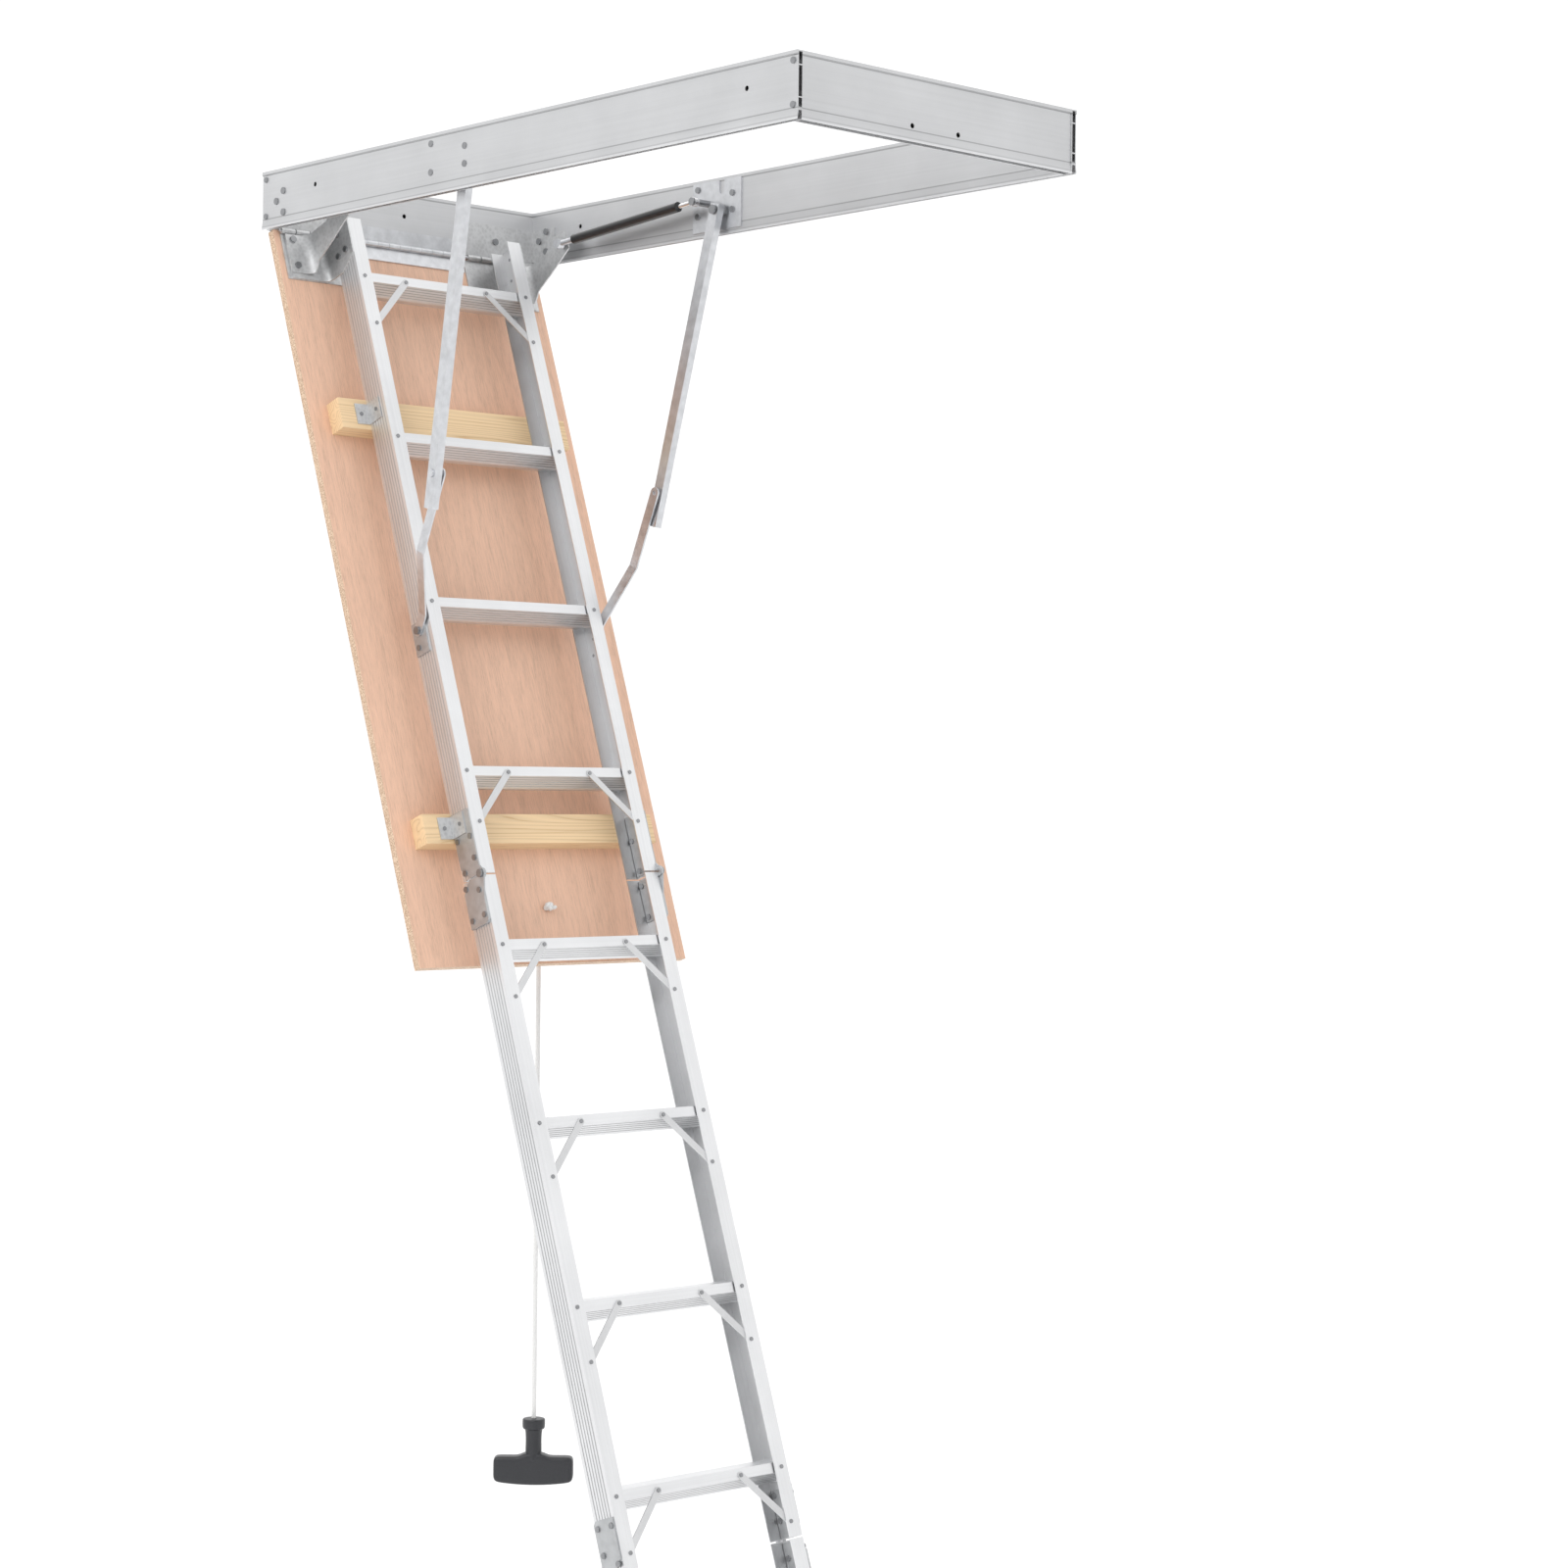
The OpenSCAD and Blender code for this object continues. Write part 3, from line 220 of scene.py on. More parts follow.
def piece(name, meshes, body):
    """Joins meshes into one piece that rides on a body, keeping the meshes' own materials."""
    made = [bpy.data.objects.new(f"{name}_{n}", m) for n, m in enumerate(meshes)]
    for o in made:
        bpy.context.scene.collection.objects.link(o)
    if len(made) > 1:
        with bpy.context.temp_override(active_object=made[0], selected_editable_objects=made):
            bpy.ops.object.join()
    whole = made[0]
    whole.name = name
    outward(whole.data)
    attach(whole, body)
    return whole


def outward(mesh):
    """Turns every shell's faces outward."""
    shape = bmesh.new()
    shape.from_mesh(mesh)
    bmesh.ops.recalc_face_normals(shape, faces=shape.faces)
    shape.to_mesh(mesh)
    shape.free()


def softened(name, width, body, material):
    """A merged copy of a CAD node with its edges rounded by a bevel, standing for the node."""
    mesh = frame["nodes"][name].data.copy()
    mesh.name = name + "_soft"
    shape = bmesh.new()
    shape.from_mesh(mesh)
    bmesh.ops.remove_doubles(shape, verts=shape.verts, dist=WELD)
    bmesh.ops.dissolve_limit(
        shape, angle_limit=math.radians(1), verts=shape.verts, edges=shape.edges)
    shape.to_mesh(mesh)
    shape.free()
    mesh.materials.clear()
    mesh.materials.append(material)
    mesh.polygons.foreach_set("use_smooth", np.ones(len(mesh.polygons), bool))
    copy = bpy.data.objects.new(name + "_soft", mesh)
    bpy.context.scene.collection.objects.link(copy)
    bevel = copy.modifiers.new("Rounded edges", "BEVEL")
    bevel.width = width
    bevel.segments = 3
    bevel.limit_method = "ANGLE"
    bevel.angle_limit = SHARP
    bevel.harden_normals = True
    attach(copy, body)
    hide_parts(name)


# ------------------------------------------------------------- materials

def shader(name, colour, roughness, metallic=0.0):
    """A material with its Principled shader set to a colour, a roughness and a metal share."""
    material = bpy.data.materials.new(name)
    material.use_nodes = True
    bsdf = material.node_tree.nodes["Principled BSDF"]
    bsdf.inputs["Base Color"].default_value = (*colour, 1)
    bsdf.inputs["Roughness"].default_value = roughness
    bsdf.inputs["Metallic"].default_value = metallic
    return material, bsdf


def node(material, kind, **inputs):
    """A new node with its named inputs set to numbers or linked to sockets."""
    made = material.node_tree.nodes.new(kind)
    for key, value in inputs.items():
        socket = made.inputs[int(key[1:])] if key[0] == "_" else made.inputs[key.replace("_", " ")]
        if isinstance(value, bpy.types.NodeSocket):
            link(material, value, socket)
        else:
            socket.default_value = value
    return made


def place(material, scale=(1, 1, 1)):
    """Object coordinates of a surface point, stretched along the axes."""
    coordinates = node(material, "ShaderNodeTexCoord")
    stretched = node(material, "ShaderNodeMapping", Vector=coordinates.outputs["Object"],
                     Scale=scale)
    return stretched.outputs[0]


def leaf_place(material, scale=(1, 1, 1)):
    """Leaf coordinates of a surface point, stretched: down the slope, across and out."""
    coordinates = node(material, "ShaderNodeTexCoord")
    back = (-float(HINGE @ DOWN), -float(HINGE @ ACROSS), -float(HINGE @ OUT))
    turned = node(material, "ShaderNodeMapping", Vector=coordinates.outputs["Object"],
                  Rotation=(0, -SLOPE, 0), Location=back)
    stretched = node(material, "ShaderNodeMapping", Vector=turned.outputs[0], Scale=scale)
    return stretched.outputs[0]


def maths(material, operation, first, second=0.0, third=0.0):
    """One step of arithmetic between sockets or numbers."""
    made = node(material, "ShaderNodeMath", _0=first, _1=second, _2=third)
    made.operation = operation
    return made.outputs[0]


def axes(material, where):
    """The three coordinates of a place, one socket each."""
    return node(material, "ShaderNodeSeparateXYZ", Vector=where).outputs


def grooves(material, depth, start, step, count, width):
    """1 inside evenly spaced grooves along one coordinate, 0 elsewhere, with soft sides."""
    turns = maths(material, "DIVIDE", maths(material, "SUBTRACT", depth, start), step)
    off = maths(material, "ABSOLUTE", maths(
        material, "SUBTRACT", maths(material, "FRACT", turns), 0.5))
    inside = node(material, "ShaderNodeMapRange", Value=off)
    inside.inputs["From Min"].default_value = width / step / 2
    inside.inputs["From Max"].default_value = width / step / 2 + 0.06
    inside.inputs["To Min"].default_value = 1.0
    inside.inputs["To Max"].default_value = 0.0
    low = maths(material, "GREATER_THAN", turns, 0.0)
    high = maths(material, "LESS_THAN", turns, float(count))
    return maths(material, "MULTIPLY", inside.outputs[0], maths(material, "MULTIPLY", low, high))


def multiply(material, bsdf, by):
    """Multiplies the shader's colour by a socket."""
    now = bsdf.inputs["Base Color"].links[0].from_socket
    product = node(material, "ShaderNodeVectorMath", _0=now, _1=by)
    product.operation = "MULTIPLY"
    link(material, product.outputs["Vector"], bsdf.inputs["Base Color"])


def paint_shade(material, bsdf, mask, share):
    """Paints shade: multiplies the shader's colour by 1 - share * mask, darker where the mask marks a groove or
    recess.
    """
    multiply(material, bsdf, maths(material, "MULTIPLY_ADD", mask, -share, 1.0))


def rough_over(material, bsdf, value, low, high):
    """Drives the roughness from low to high by a pattern."""
    rough = node(material, "ShaderNodeMapRange", Value=value)
    rough.inputs["To Min"].default_value = low
    rough.inputs["To Max"].default_value = high
    link(material, rough.outputs[0], bsdf.inputs["Roughness"])


def ramp(material, factor, stops):
    """A colour ramp over (position, colour) stops."""
    made = node(material, "ShaderNodeValToRGB", Fac=factor)
    elements = made.color_ramp.elements
    while len(elements) < len(stops):
        elements.new(0.5)
    for element, (position, colour) in zip(elements, stops):
        element.position = position
        element.color = (*colour, 1)
    return made.outputs["Color"]


def tint(colour, factor):
    """A colour made lighter or darker by a factor."""
    return tuple(min(1.0, c * factor) for c in colour)


def bump(material, bsdf, height, distance):
    """Raises the surface by a height pattern."""
    made = node(material, "ShaderNodeBump", Height=height, Strength=1.0, Distance=distance)
    link(material, made.outputs[0], bsdf.inputs["Normal"])


def link(material, socket, target):
    """Links an output to an input."""
    material.node_tree.links.new(socket, target)


def extruded(name, where, colour, roughness):
    """Mill-finish aluminium: faint die lines along one direction, and slow clouding."""
    material, bsdf = shader(name, colour, roughness, 1.0)
    lines = node(material, "ShaderNodeTexNoise", Vector=where(material), Scale=1.0, Detail=4.0,
                 Roughness=0.6)
    clouds = node(material, "ShaderNodeTexNoise", Vector=place(material), Scale=9.0, Detail=3.0)
    both = maths(material, "MULTIPLY_ADD", lines.outputs["Fac"], 0.5,
                 maths(material, "MULTIPLY", clouds.outputs["Fac"], 0.5))
    link(material, ramp(material, both, [(0.3, tint(colour, 0.92)), (0.7, tint(colour, 1.06))]),
         bsdf.inputs["Base Color"])
    rough_over(material, bsdf, lines.outputs["Fac"], roughness - 0.08, roughness + 0.1)
    bump(material, bsdf, lines.outputs["Fac"], 0.00006)
    return material, bsdf


def board_metal(name, scale, look):
    """The frame's aluminium: a painted shade line under the top lip, one on the skirt, and a painted highlight on
    the bead.
    """
    material, bsdf = extruded(name, lambda m: place(m, scale), look.boards, look.flange)
    height = axes(material, place(material))[2]
    # Painted shade lines and a painted highlight by height, multiplied into the colour
    shade = ramp(material, maths(material, "DIVIDE", height, FRAME_TALL),
                 [(share, (grey,) * 3) for share, grey in BOARD_PAINTED_LIGHT])
    multiply(material, bsdf, shade)
    return material


def stile_metal(look):
    """The stiles' aluminium, with painted shade in the grooves of the outer side and inside the channel."""
    material, bsdf = extruded("stile_metal", lambda m: leaf_place(m, (2, 260, 260)),
                              look.aluminium, look.flange)
    across = axes(material, leaf_place(material))
    side = maths(material, "ABSOLUTE", across[1])
    outside = maths(material, "GREATER_THAN", side, STILE_OUTSIDE)
    lines = grooves(material, across[2], *STILE_GROOVES)
    # Painted shade in the grooves of the outer side, 26% darker
    paint_shade(material, bsdf, maths(material, "MULTIPLY", lines, outside), 0.26)
    # Painted shade inside the channel, short of the web's end, 14% darker
    inside = maths(material, "LESS_THAN", side, STILE_INSIDE)
    web = maths(material, "LESS_THAN", across[2], WEB_END)
    paint_shade(material, bsdf, maths(material, "MULTIPLY", inside, web), 0.14)
    return material


def tread_metal(look):
    """The treads' aluminium, with painted shade in the grooves of the sloping face under the front band."""
    material, bsdf = extruded("tread_metal", lambda m: leaf_place(m, (260, 2, 260)),
                              look.aluminium, look.flange)
    across = axes(material, leaf_place(material))
    # Painted shade in the grooves of each tread's sloping face, below its front band, 38% darker
    start = maths(material, "SUBTRACT", across[0], FIRST_TREAD - TREAD_LEAD)
    turns = maths(material, "FRACT", maths(material, "DIVIDE", start, TREAD_PITCH))
    below = maths(material, "GREATER_THAN", turns, TREAD_BELOW / TREAD_PITCH)
    lines = grooves(material, across[2], *TREAD_GROOVES)
    paint_shade(material, bsdf, maths(material, "MULTIPLY", lines, below), 0.38)
    return material


def galvanised(colour):
    """Dull galvanised steel: soft spangle in colour and roughness."""
    material, bsdf = shader("galvanised", colour, 0.5, 0.95)
    spangle = node(material, "ShaderNodeTexVoronoi", Vector=place(material), Scale=160.0)
    soft = node(material, "ShaderNodeTexNoise", Vector=place(material), Scale=40.0, Detail=4.0)
    blend = node(material, "ShaderNodeMix", _0=0.5, _2=spangle.outputs["Distance"],
                 _3=soft.outputs["Fac"])
    link(material, ramp(material, blend.outputs[0],
                        [(0.25, tint(colour, 0.90)), (0.65, tint(colour, 1.10))]),
         bsdf.inputs["Base Color"])
    rough_over(material, bsdf, soft.outputs["Fac"], 0.42, 0.62)
    bump(material, bsdf, soft.outputs["Fac"], 0.00005)
    return material


def zinc(name, colour, roughness):
    """Bright zinc plating: fine mottle over a satin metal."""
    material, bsdf = shader(name, colour, roughness, 1.0)
    mottle = node(material, "ShaderNodeTexNoise", Vector=place(material), Scale=70.0, Detail=5.0)
    link(material, ramp(material, mottle.outputs["Fac"],
                        [(0.3, tint(colour, 0.9)), (0.7, tint(colour, 1.1))]),
         bsdf.inputs["Base Color"])
    rough_over(material, bsdf, mottle.outputs["Fac"], roughness - 0.06, roughness + 0.08)
    bump(material, bsdf, mottle.outputs["Fac"], 0.00003)
    return material


def black_paint():
    """Gloss black enamel with a clear coat and a slight orange peel."""
    material, bsdf = shader("strut_black", (0.006, 0.006, 0.007), 0.32)
    bsdf.inputs["Coat Weight"].default_value = 0.15
    bsdf.inputs["Coat Roughness"].default_value = 0.08
    peel = node(material, "ShaderNodeTexNoise", Vector=place(material), Scale=220.0, Detail=2.0)
    bump(material, bsdf, peel.outputs["Fac"], 0.00003)
    return material


def door_board(colour):
    """Veneered particle board: fine grain down the door on its faces, chips along its edges.

    A point is on a face where it lies as far from the board's middle as the faces do.
    """
    material, bsdf = shader("door_board", colour, 0.5)
    grain = node(material, "ShaderNodeTexNoise", Vector=leaf_place(material, (38, 620, 620)),
                 Scale=1.0, Detail=5.0, Roughness=0.7)
    streak = node(material, "ShaderNodeTexWave", Vector=leaf_place(material, (3.2, 26, 26)),
                  Scale=0.35, Distortion=9.0, Detail=3.0)
    streak.bands_direction = "Y"
    blend = node(material, "ShaderNodeMix", _0=0.06, _2=grain.outputs["Fac"],
                 _3=streak.outputs["Fac"])
    face = ramp(material, blend.outputs[0],
                [(0.32, tint(colour, 0.80)), (0.48, colour), (0.66, tint(colour, 1.12))])
    chips = node(material, "ShaderNodeTexVoronoi", Vector=leaf_place(material), Scale=420.0)
    edge = ramp(material, chips.outputs["Distance"],
                [(0.1, (0.26, 0.16, 0.10)), (0.45, (0.58, 0.40, 0.27)), (0.9, (0.74, 0.57, 0.42))])
    depth = axes(material, leaf_place(material))[2]
    off = maths(material, "ABSOLUTE", maths(material, "SUBTRACT", depth, DOOR_MIDDLE))
    on_face = maths(material, "GREATER_THAN", off, DOOR_HALF - 0.00005)
    mix = node(material, "ShaderNodeMix")
    mix.data_type = "RGBA"
    link(material, on_face, mix.inputs[0])
    link(material, edge, mix.inputs[6])
    link(material, face, mix.inputs[7])
    link(material, mix.outputs[2], bsdf.inputs["Base Color"])
    rough_over(material, bsdf, grain.outputs["Fac"], 0.42, 0.6)
    bump(material, bsdf, blend.outputs[0], 0.00012)
    return material


def pine_board(colour):
    """Planed pine with its grain across the ladder.

    The rings are the level lines of a stretched noise, folded to and fro; fibres lie over them.
    """
    material, bsdf = shader("pine", colour, 0.55)
    swirl = node(material, "ShaderNodeTexNoise", Vector=leaf_place(material, (22, 1.0, 22)),
                 Scale=1.0, Detail=1.0, Roughness=0.4)
    levels = maths(material, "MULTIPLY", swirl.outputs["Fac"], 17.0)
    rings = maths(material, "PINGPONG", levels, 0.5)
    fibres = node(material, "ShaderNodeTexNoise", Vector=leaf_place(material, (420, 9, 420)),
                  Scale=1.0, Detail=4.0)
    blend = node(material, "ShaderNodeMix", _0=0.22, _2=rings, _3=fibres.outputs["Fac"])
    link(material, ramp(material, blend.outputs[0],
                        [(0.07, (0.58, 0.36, 0.17)), (0.17, tint(colour, 0.93)), (0.33, colour),
                         (0.5, tint(colour, 1.06))]),
         bsdf.inputs["Base Color"])
    rough_over(material, bsdf, fibres.outputs["Fac"], 0.48, 0.64)
    bump(material, bsdf, fibres.outputs["Fac"], 0.0001)
    return material


def cotton():
    """Braided white cord: fibres along the strands."""
    material, bsdf = shader("white_cord", (0.78, 0.78, 0.77), 0.85)
    bsdf.inputs["Sheen Weight"].default_value = 0.3
    fibre = node(material, "ShaderNodeTexNoise", Vector=place(material), Scale=1400.0, Detail=3.0)
    link(material, ramp(material, fibre.outputs["Fac"],
                        [(0.3, (0.64, 0.64, 0.63)), (0.65, (0.84, 0.84, 0.83))]),
         bsdf.inputs["Base Color"])
    bump(material, bsdf, fibre.outputs["Fac"], 0.0002)
    return material


def moulded(name, colour, roughness, grain):
    """Moulded plastic or rubber with a fine grained skin."""
    material, bsdf = shader(name, colour, roughness)
    skin = node(material, "ShaderNodeTexNoise", Vector=place(material), Scale=grain, Detail=3.0)
    link(material, ramp(material, skin.outputs["Fac"],
                        [(0.3, tint(colour, 0.8)), (0.7, tint(colour, 1.3))]),
         bsdf.inputs["Base Color"])
    bump(material, bsdf, skin.outputs["Fac"], 0.0001)
    return material


def dress(names, material):
    """Gives CAD nodes a material in every slot."""
    for name in names:
        data = frame["nodes"][name].data
        data.materials.clear()
        data.materials.append(material)


# ------------------------------------------------------------- operators

class LADDER_OT_camera(bpy.types.Operator):
    """Make the camera"""
    bl_idname = "ladder.camera"
    bl_label = "Camera"

    def execute(self, context):
        studio = context.scene.ladder_studio
        a, r = studio.azimuth, studio.roll
        back = Vector((math.sin(a), -math.cos(a), 0))
        right = Vector((math.cos(a), math.sin(a), 0))
        up = Vector((0, 0, 1))
        side = right * math.cos(r) + up * math.sin(r)
        top = up * math.cos(r) - right * math.sin(r)
        data = bpy.data.cameras.new("camera")
        data.sensor_width = 36
        data.lens = studio.lens
        data.clip_end = 100
        camera = bpy.data.objects.new("camera", data)
        context.scene.collection.objects.link(camera)
        turn = Matrix((side, top, back)).transposed().to_4x4()
        camera.matrix_world = Matrix.Translation(Vector(studio.place)) @ turn
        context.scene.camera = camera
        return {"FINISHED"}


class LADDER_OT_cord(bpy.types.Operator):
    """Make the pull cord, its knot and its handle"""
    bl_idname = "ladder.cord"
    bl_label = "Pull cord"

    def execute(self, context):
        sizes = context.scene.ladder_cord
        white = cotton()
        dark = moulded("handle_plastic", (0.022, 0.023, 0.027), 0.38, 900.0)
        cord = piece("cord_braid", [braid(sizes, white)], "cord")
        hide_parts("pull_cord")
        knot = piece("cord_knot_tied", knot_meshes(sizes, white), "door")
        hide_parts("cord_knot")
        handle = piece("handle_grip", handle_meshes(sizes, dark), "cord")
        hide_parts("pull_handle")
        return {"FINISHED"}


def braid(sizes, material):
    """The braided tube: radius over the strands is R - h + h * crest.

    crest is the larger of two waves that run round the cord one way and the other as it goes on.
    """
    top, bottom = CORD_ROUTE[0][2], CORD_ROUTE[-1][2]
    along = np.arange(top, bottom, -0.0012)
    along = np.append(along, bottom)
    around = np.linspace(0, 2 * math.pi, 40, endpoint=False)
    z, angle = np.meshgrid(along, around, indexing="ij")
    turn = 2 * math.pi * (z - top) / sizes.lay
    one = np.abs(np.cos((angle * sizes.strands + turn * sizes.strands) / 2))
    other = np.abs(np.cos((angle * sizes.strands - turn * sizes.strands) / 2))
    height = 0.0006
    radius = sizes.radius - height + height * np.maximum(one, other) ** 0.6
    x = CORD_ROUTE[0][0] + radius * np.cos(angle)
    y = CORD_ROUTE[0][1] + radius * np.sin(angle)
    return grid_mesh("cord_braid", np.stack([x, y, z], -1), material)


def tube(name, path, radius, material, sides=20, strands=5, lay=0.030):
    """A strand-grooved tube along a path of points, with rounded ends.

    Each ring stands square to the path: centre + r * (cos a * side + sin a * other side).
    """
    path = np.asarray(path, float)
    forward = np.gradient(path, axis=0)
    forward /= np.linalg.norm(forward, axis=1)[:, None]
    side = np.cross(forward, np.array([0.31, 0.22, 0.92]))
    side /= np.linalg.norm(side, axis=1)[:, None]
    other = np.cross(forward, side)
    angle = np.linspace(0, 2 * math.pi, sides, endpoint=False)
    gone = np.concatenate([[0], np.cumsum(np.linalg.norm(np.diff(path, axis=0), axis=1))])
    left = gone[-1] - gone
    close = np.clip(np.minimum(gone, left) / radius, 0, 1)
    round_off = np.sqrt(1 - (1 - close) ** 2) * 0.999 + 0.001
    groove = np.abs(np.cos(angle[None, :] * strands / 2 + gone[:, None] / lay * math.pi * strands))
    r = radius * round_off[:, None] * (0.9 + 0.1 * groove ** 0.6)
    points = (path[:, None, :] + r[..., None] * (np.cos(angle)[None, :, None] * side[:, None, :]
              + np.sin(angle)[None, :, None] * other[:, None, :]))
    return grid_mesh(name, points, material)


def knot_meshes(sizes, material):
    """An overhand knot on the door's inner face, its tail, and the cord through the hole.

    The knot is a trefoil: a ring path whose distance from the axis swings as (2 + cos 3t).
    """
    t = np.linspace(0, 2 * math.pi, 160)
    size = (sizes.knot_radius - 0.0033) / 3
    inner = -0.0057
    lift = inner + 0.0078
    trefoil = np.stack([HOLE_DOWN + size * (np.sin(t) + 2 * np.sin(2 * t)) * 0.95,
                        size * (np.cos(t) - 2 * np.cos(2 * t)) * 0.95,
                        lift + 0.0042 * np.sin(3 * t)], -1)
    s = np.linspace(0, 1, 40)
    through = np.stack([np.full_like(s, HOLE_DOWN), np.zeros_like(s),
                        inner - 0.0155 + 0.0205 * s], -1)
    tail = np.stack([HOLE_DOWN + 0.002 * np.sin(3 * s), 0.004 + 0.0122 * s,
                     lift - 0.001 + 0.003 * s ** 2], -1)
    return [tube("knot", leaf(trefoil), 0.0034, material),
            tube("knot_through", leaf(through), 0.0039, material),
            tube("knot_tail", leaf(tail), 0.0036, material)]


def handle_place(points):
    """Turns points about the handle's own axis and moves them under the cord's end."""
    c, s = math.cos(HANDLE_TURN), math.sin(HANDLE_TURN)
    x, y, z = points[..., 0], points[..., 1], points[..., 2]
    return np.stack([x * c - y * s, x * s + y * c, z], -1) + np.array(CORD_ROUTE[-1])


def lathe(name, profile, material, sides=64):
    """Turns a profile of (radius, height) points about the handle's axis."""
    profile = np.asarray(profile, float)
    angle = np.linspace(0, 2 * math.pi, sides, endpoint=False)
    r, z = profile[:, :1], profile[:, 1:]
    points = np.stack([r * np.cos(angle), r * np.sin(angle), z + 0 * angle], -1)
    return grid_mesh(name, handle_place(points), material)


def smooth_profile(corners, steps=12):
    """A Catmull-Rom curve through (radius, height) corners, at even parameter steps."""
    corners = np.asarray(corners, float)
    padded = np.vstack([2 * corners[0] - corners[1], corners, 2 * corners[-1] - corners[-2]])
    t = np.linspace(0, 1, steps, endpoint=False)[:, None]
    spans = []
    for p0, p1, p2, p3 in zip(padded, padded[1:], padded[2:], padded[3:]):
        spans.append(0.5 * (2 * p1 + (p2 - p0) * t + (2 * p0 - 5 * p1 + 4 * p2 - p3) * t ** 2
                            + (3 * p1 - p0 - 3 * p2 + p3) * t ** 3))
    return np.vstack(spans + [corners[-1:]])


def handle_meshes(sizes, material):
    """A flanged collar and waisted neck over a rounded bar whose underside bows down.

    The bar is a superellipse section |y/b|^6 + |z/h|^6 = 1 carried along X and drawn in
    toward its ends by (1 - |x/L|^20)^(1/5). The neck flares into it.
    """
    collar = lathe("collar", smooth_profile([
        (0.0005, 0.0), (0.013, 0.0), (0.0182, -0.0008), (0.0193, -0.004), (0.0193, -0.012),
        (0.0185, -0.0165), (0.0155, -0.019), (0.0142, -0.024), (0.0136, -0.036), (0.0138, -0.052),
        (0.0139, -0.060), (0.0139, -0.072), (0.0005, -0.072)]), material)
    half = sizes.bar_length / 2
    u = np.sin(np.linspace(-math.pi / 2, math.pi / 2, 90))
    v = np.linspace(0, 2 * math.pi, 72, endpoint=False)
    along, around = np.meshgrid(u, v, indexing="ij")
    drawn = np.maximum(1 - np.abs(along) ** 20, 0) ** 0.2 * 0.998 + 0.002
    cos, sin = np.cos(around), np.sin(around)
    y = 0.014 * drawn * np.sign(cos) * np.abs(cos) ** (1 / 3)
    z = 0.022 * drawn * np.sign(sin) * np.abs(sin) ** (1 / 3)
    rise = 0.006 * np.exp(-(along / 0.32) ** 4)
    bow = np.where(z < 0, -0.0055 * (1 - along ** 2), rise - 0.0005)
    centre = -0.064 - 0.022
    points = np.stack([along * half, y, centre + z + bow], -1)
    bar = grid_mesh("bar", handle_place(points), material)
    return [collar, bar]


class LADDER_OT_frame(bpy.types.Operator):
    """Finish the hatch frame"""
    bl_idname = "ladder.frame"
    bl_label = "Hatch frame"

    def execute(self, context):
        look = context.scene.ladder_finish
        along = board_metal("frame_along", (2, 260, 260), look)
        across = board_metal("frame_across", (260, 2, 260), look)
        dress(["board_left", "board_right"], along)
        dress(["board_hinge", "board_free"], across)
        return {"FINISHED"}


class LADDER_OT_metals(bpy.types.Operator):
    """Finish the steel plates, bolts, arms and struts"""
    bl_idname = "ladder.metals"
    bl_label = "Plates, arms and struts"

    def execute(self, context):
        look = context.scene.ladder_finish
        slots = {s["node"]: s["material_slot"] for s in frame["record"]["subparts"]}
        plated = zinc("zinc_steel", look.zinc, 0.34)
        finishes = {
            "galvanised_steel": galvanised(look.galvanised),
            "zinc_steel": plated,
            "bright_rod": zinc("bright_rod", (0.78, 0.78, 0.79), 0.14),
            "strut_black": black_paint(),
        }
        for slot, material in finishes.items():
            dress([n for n, s in slots.items() if s == slot], material)
        fasteners = ("rivet", "screw", "bolt", "frame_pins", "arm_rivets")
        dress([n for n in slots if any(word in n for word in fasteners)],
              zinc("fastener_steel", look.rivet, 0.3))
        dress([n for n in slots if n.startswith("plates_")], zinc("plate_steel", look.plate, 0.5))
        return {"FINISHED"}


class LADDER_OT_ladder(bpy.types.Operator):
    """Finish the stiles, treads, braces and legs"""
    bl_idname = "ladder.ladder"
    bl_label = "Ladder"

    def execute(self, context):
        look = context.scene.ladder_finish
        stiles, treads = stile_metal(look), tread_metal(look)
        names = frame["nodes"]
        dress([n for n in names if n.startswith(("stile_upper", "stile_middle", "stile_lower"))],
              stiles)
        dress(["leg_l", "leg_r"], stiles)
        dress([n for n in names if n.startswith("treads_")], treads)
        pressed, _ = extruded("brace_metal", lambda m: leaf_place(m, (60, 60, 60)),
                              tint(look.aluminium, 0.84), look.flange)
        dress([n for n in names if n.startswith("braces_")], pressed)
        return {"FINISHED"}


class LADDER_OT_door(bpy.types.Operator):
    """Finish the door and its battens"""
    bl_idname = "ladder.door"
    bl_label = "Door"

    def execute(self, context):
        look = context.scene.ladder_finish
        dress(["door_panel"], door_board(look.door))
        dress(["battens"], pine_board(look.pine))
        return {"FINISHED"}


class LADDER_OT_feet(bpy.types.Operator):
    """Make the rounded rubber feet"""
    bl_idname = "ladder.feet"
    bl_label = "Feet"

    def execute(self, context):
        rubber = moulded("foot_rubber", (0.018, 0.018, 0.019), 0.7, 700.0)
        for side in "lr":
            softened(f"foot_{side}", 0.003, f"leg_{side}_set", rubber)
        return {"FINISHED"}


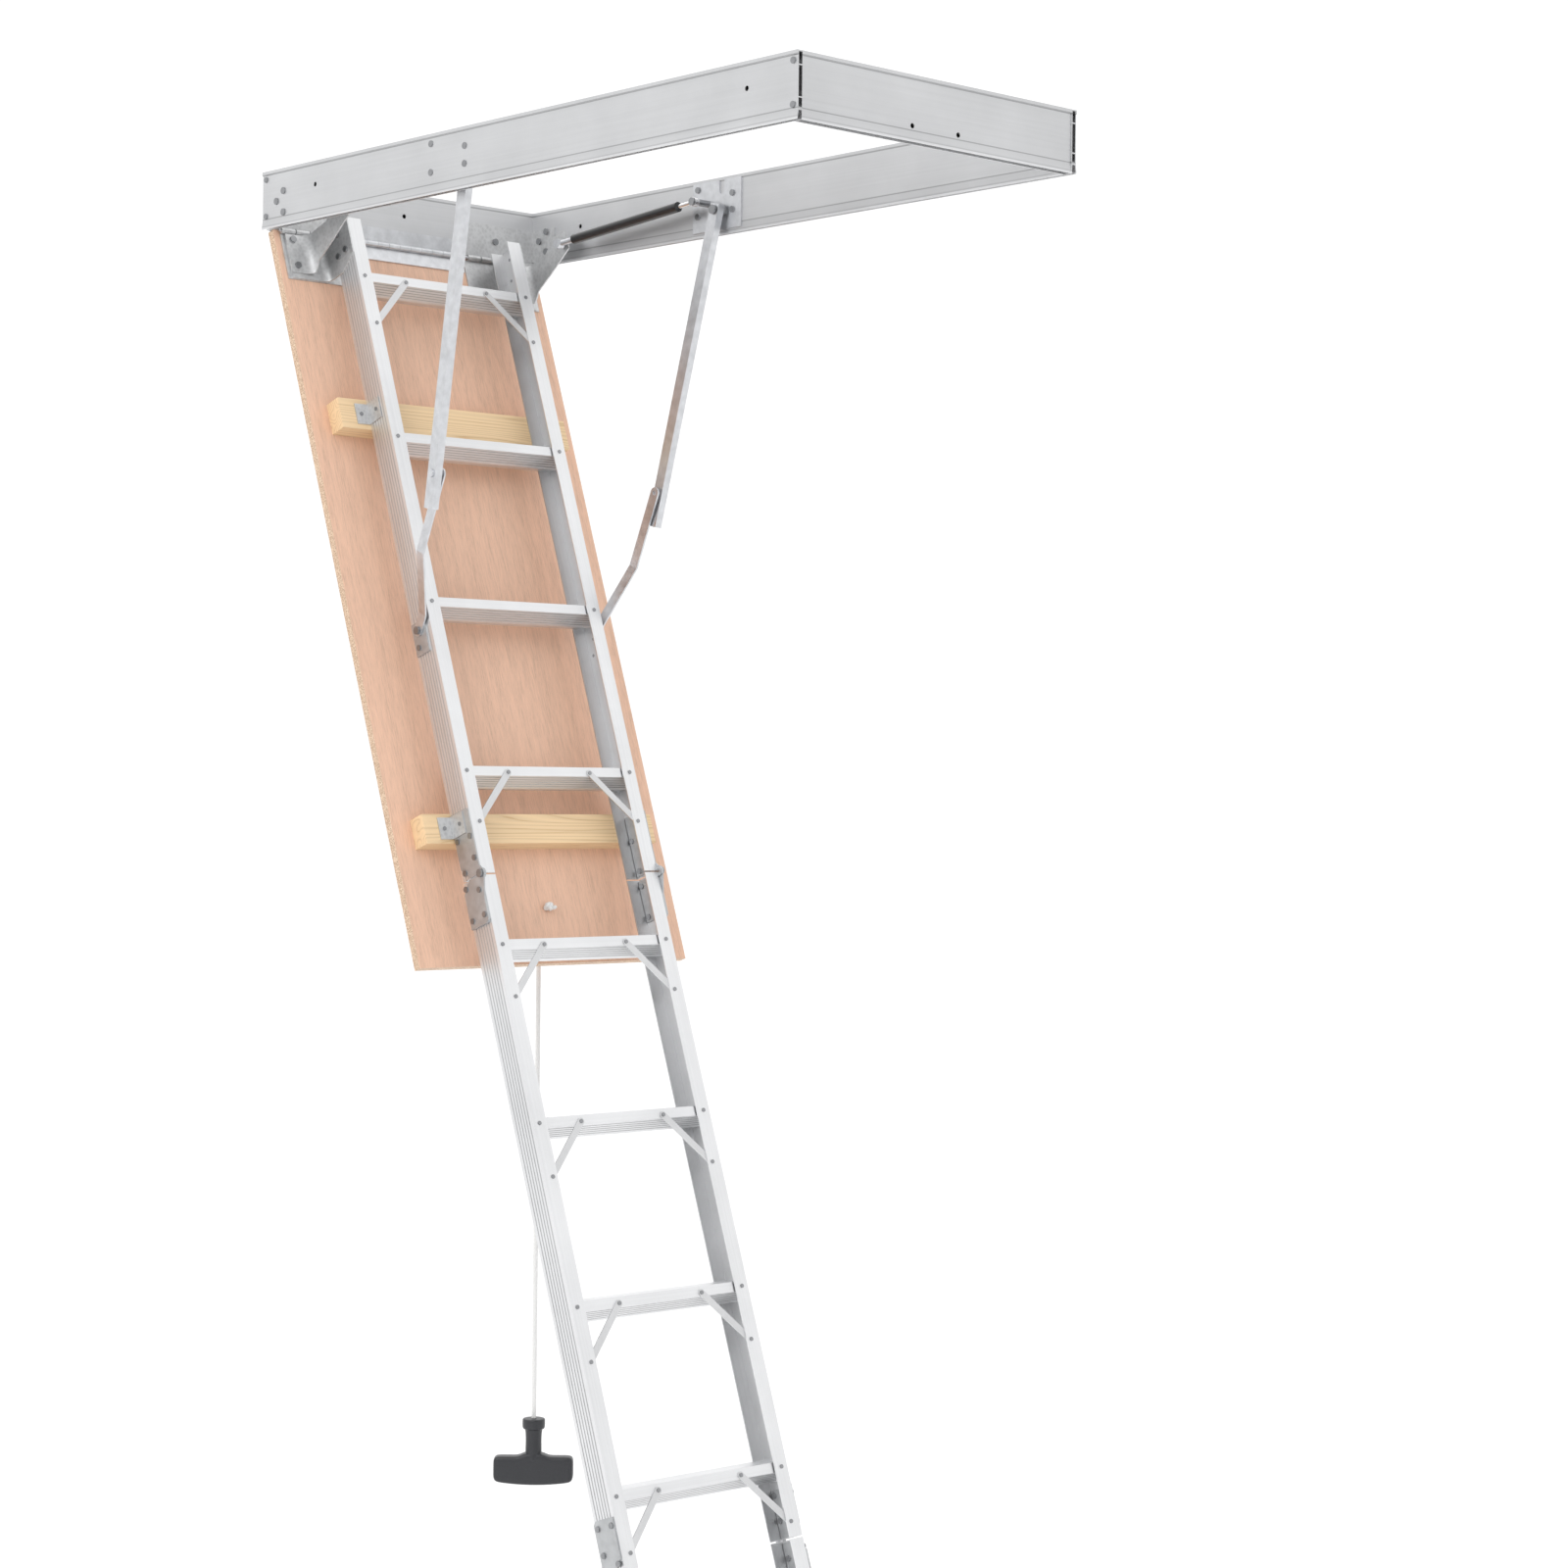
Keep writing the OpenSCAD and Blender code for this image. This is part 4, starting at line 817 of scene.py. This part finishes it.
class LADDER_OT_stage(bpy.types.Operator):
    """Make the floor and the lights"""
    bl_idname = "ladder.stage"
    bl_label = "Studio"

    def execute(self, context):
        studio = context.scene.ladder_studio
        low, high = CAD_BOUNDS
        white, _ = shader("studio_white", (0.95, 0.95, 0.95), 0.9)
        radius = np.array([0.001, 60.0])
        angle = np.linspace(0, 2 * math.pi, 64, endpoint=False)
        r, a = np.meshgrid(radius, angle, indexing="ij")
        points = np.stack([r * np.cos(a) + 0.8, r * np.sin(a), np.full_like(r, low.z - 0.001)], -1)
        floor = bpy.data.objects.new(
            "studio_floor", grid_mesh("studio_floor", points, white, caps=False))
        context.scene.collection.objects.link(floor)
        context.scene.world = surround(studio)
        centre = (low + high) / 2
        for name, offset, size, power in (
                ("key_light", (2.0, -5.0, 3.0), 3.0, studio.key),
                ("rim_light", (-3.5, 1.5, 4.0), 2.0, studio.key * 0.12)):
            data = bpy.data.lights.new(name, "AREA")
            data.size = size
            data.energy = power
            lamp = bpy.data.objects.new(name, data)
            context.scene.collection.objects.link(lamp)
            lamp.location = centre + Vector(offset)
            lamp.rotation_mode = "QUATERNION"
            lamp.rotation_quaternion = (-Vector(offset)).to_track_quat("-Z", "Y")
        context.scene.view_settings.view_transform = "Standard"
        return {"FINISHED"}


def surround(studio):
    """A white surround: even behind the ladder, brighter overhead and darker to the front."""
    world = bpy.data.worlds.new("studio")
    world.use_nodes = True
    background = world.node_tree.nodes["Background"]
    background.inputs["Color"].default_value = (1, 1, 1, 1)
    way = node(world, "ShaderNodeTexCoord").outputs["Generated"]
    a = studio.azimuth
    parts = []
    for axis, low, high in (((0, 0, 1), 0.0, studio.overhead),
                            ((math.sin(a), -math.cos(a), 0), 0.0, -studio.shade)):
        toward = node(world, "ShaderNodeVectorMath", _0=way, _1=axis)
        toward.operation = "DOT_PRODUCT"
        share = node(world, "ShaderNodeMapRange", Value=toward.outputs["Value"])
        share.inputs["To Min"].default_value = low
        share.inputs["To Max"].default_value = high
        parts.append(share.outputs[0])
    both = node(world, "ShaderNodeMath", _0=parts[0], _1=parts[1])
    whole = node(world, "ShaderNodeMath", _0=both.outputs[0], _1=studio.sky)
    link(world, whole.outputs[0], background.inputs["Strength"])
    return world


OPERATORS = (LADDER_OT_camera, LADDER_OT_cord, LADDER_OT_frame, LADDER_OT_metals,
             LADDER_OT_ladder, LADDER_OT_door, LADDER_OT_feet, LADDER_OT_stage)
GROUPS = {"ladder_finish": LadderFinish, "ladder_cord": LadderCord, "ladder_studio": LadderStudio}


class LADDER_PT_panel(bpy.types.Panel):
    """Buttons and sizes of the ladder"""
    bl_idname = "LADDER_PT_panel"
    bl_label = "Attic ladder"
    bl_space_type = "VIEW_3D"
    bl_region_type = "UI"
    bl_category = "Ladder"

    def draw(self, context):
        for operator in OPERATORS:
            self.layout.operator(operator.bl_idname)
        for name, group in GROUPS.items():
            box = self.layout.box()
            for prop in group.__annotations__:
                box.prop(getattr(context.scene, name), prop)


def register():
    for cls in (*GROUPS.values(), *OPERATORS, LADDER_PT_panel):
        bpy.utils.register_class(cls)
    for name, group in GROUPS.items():
        setattr(bpy.types.Scene, name, bpy.props.PointerProperty(type=group))


def unregister():
    for name in GROUPS:
        delattr(bpy.types.Scene, name)
    for cls in (LADDER_PT_panel, *reversed(OPERATORS), *GROUPS.values()):
        bpy.utils.unregister_class(cls)


def main():
    register()
    for operator in OPERATORS:
        group, name = operator.bl_idname.split(".")
        if getattr(getattr(bpy.ops, group), name)() != {"FINISHED"}:
            raise RuntimeError(f"{operator.bl_label} did not finish")


if __name__ == "__main__":
    main()
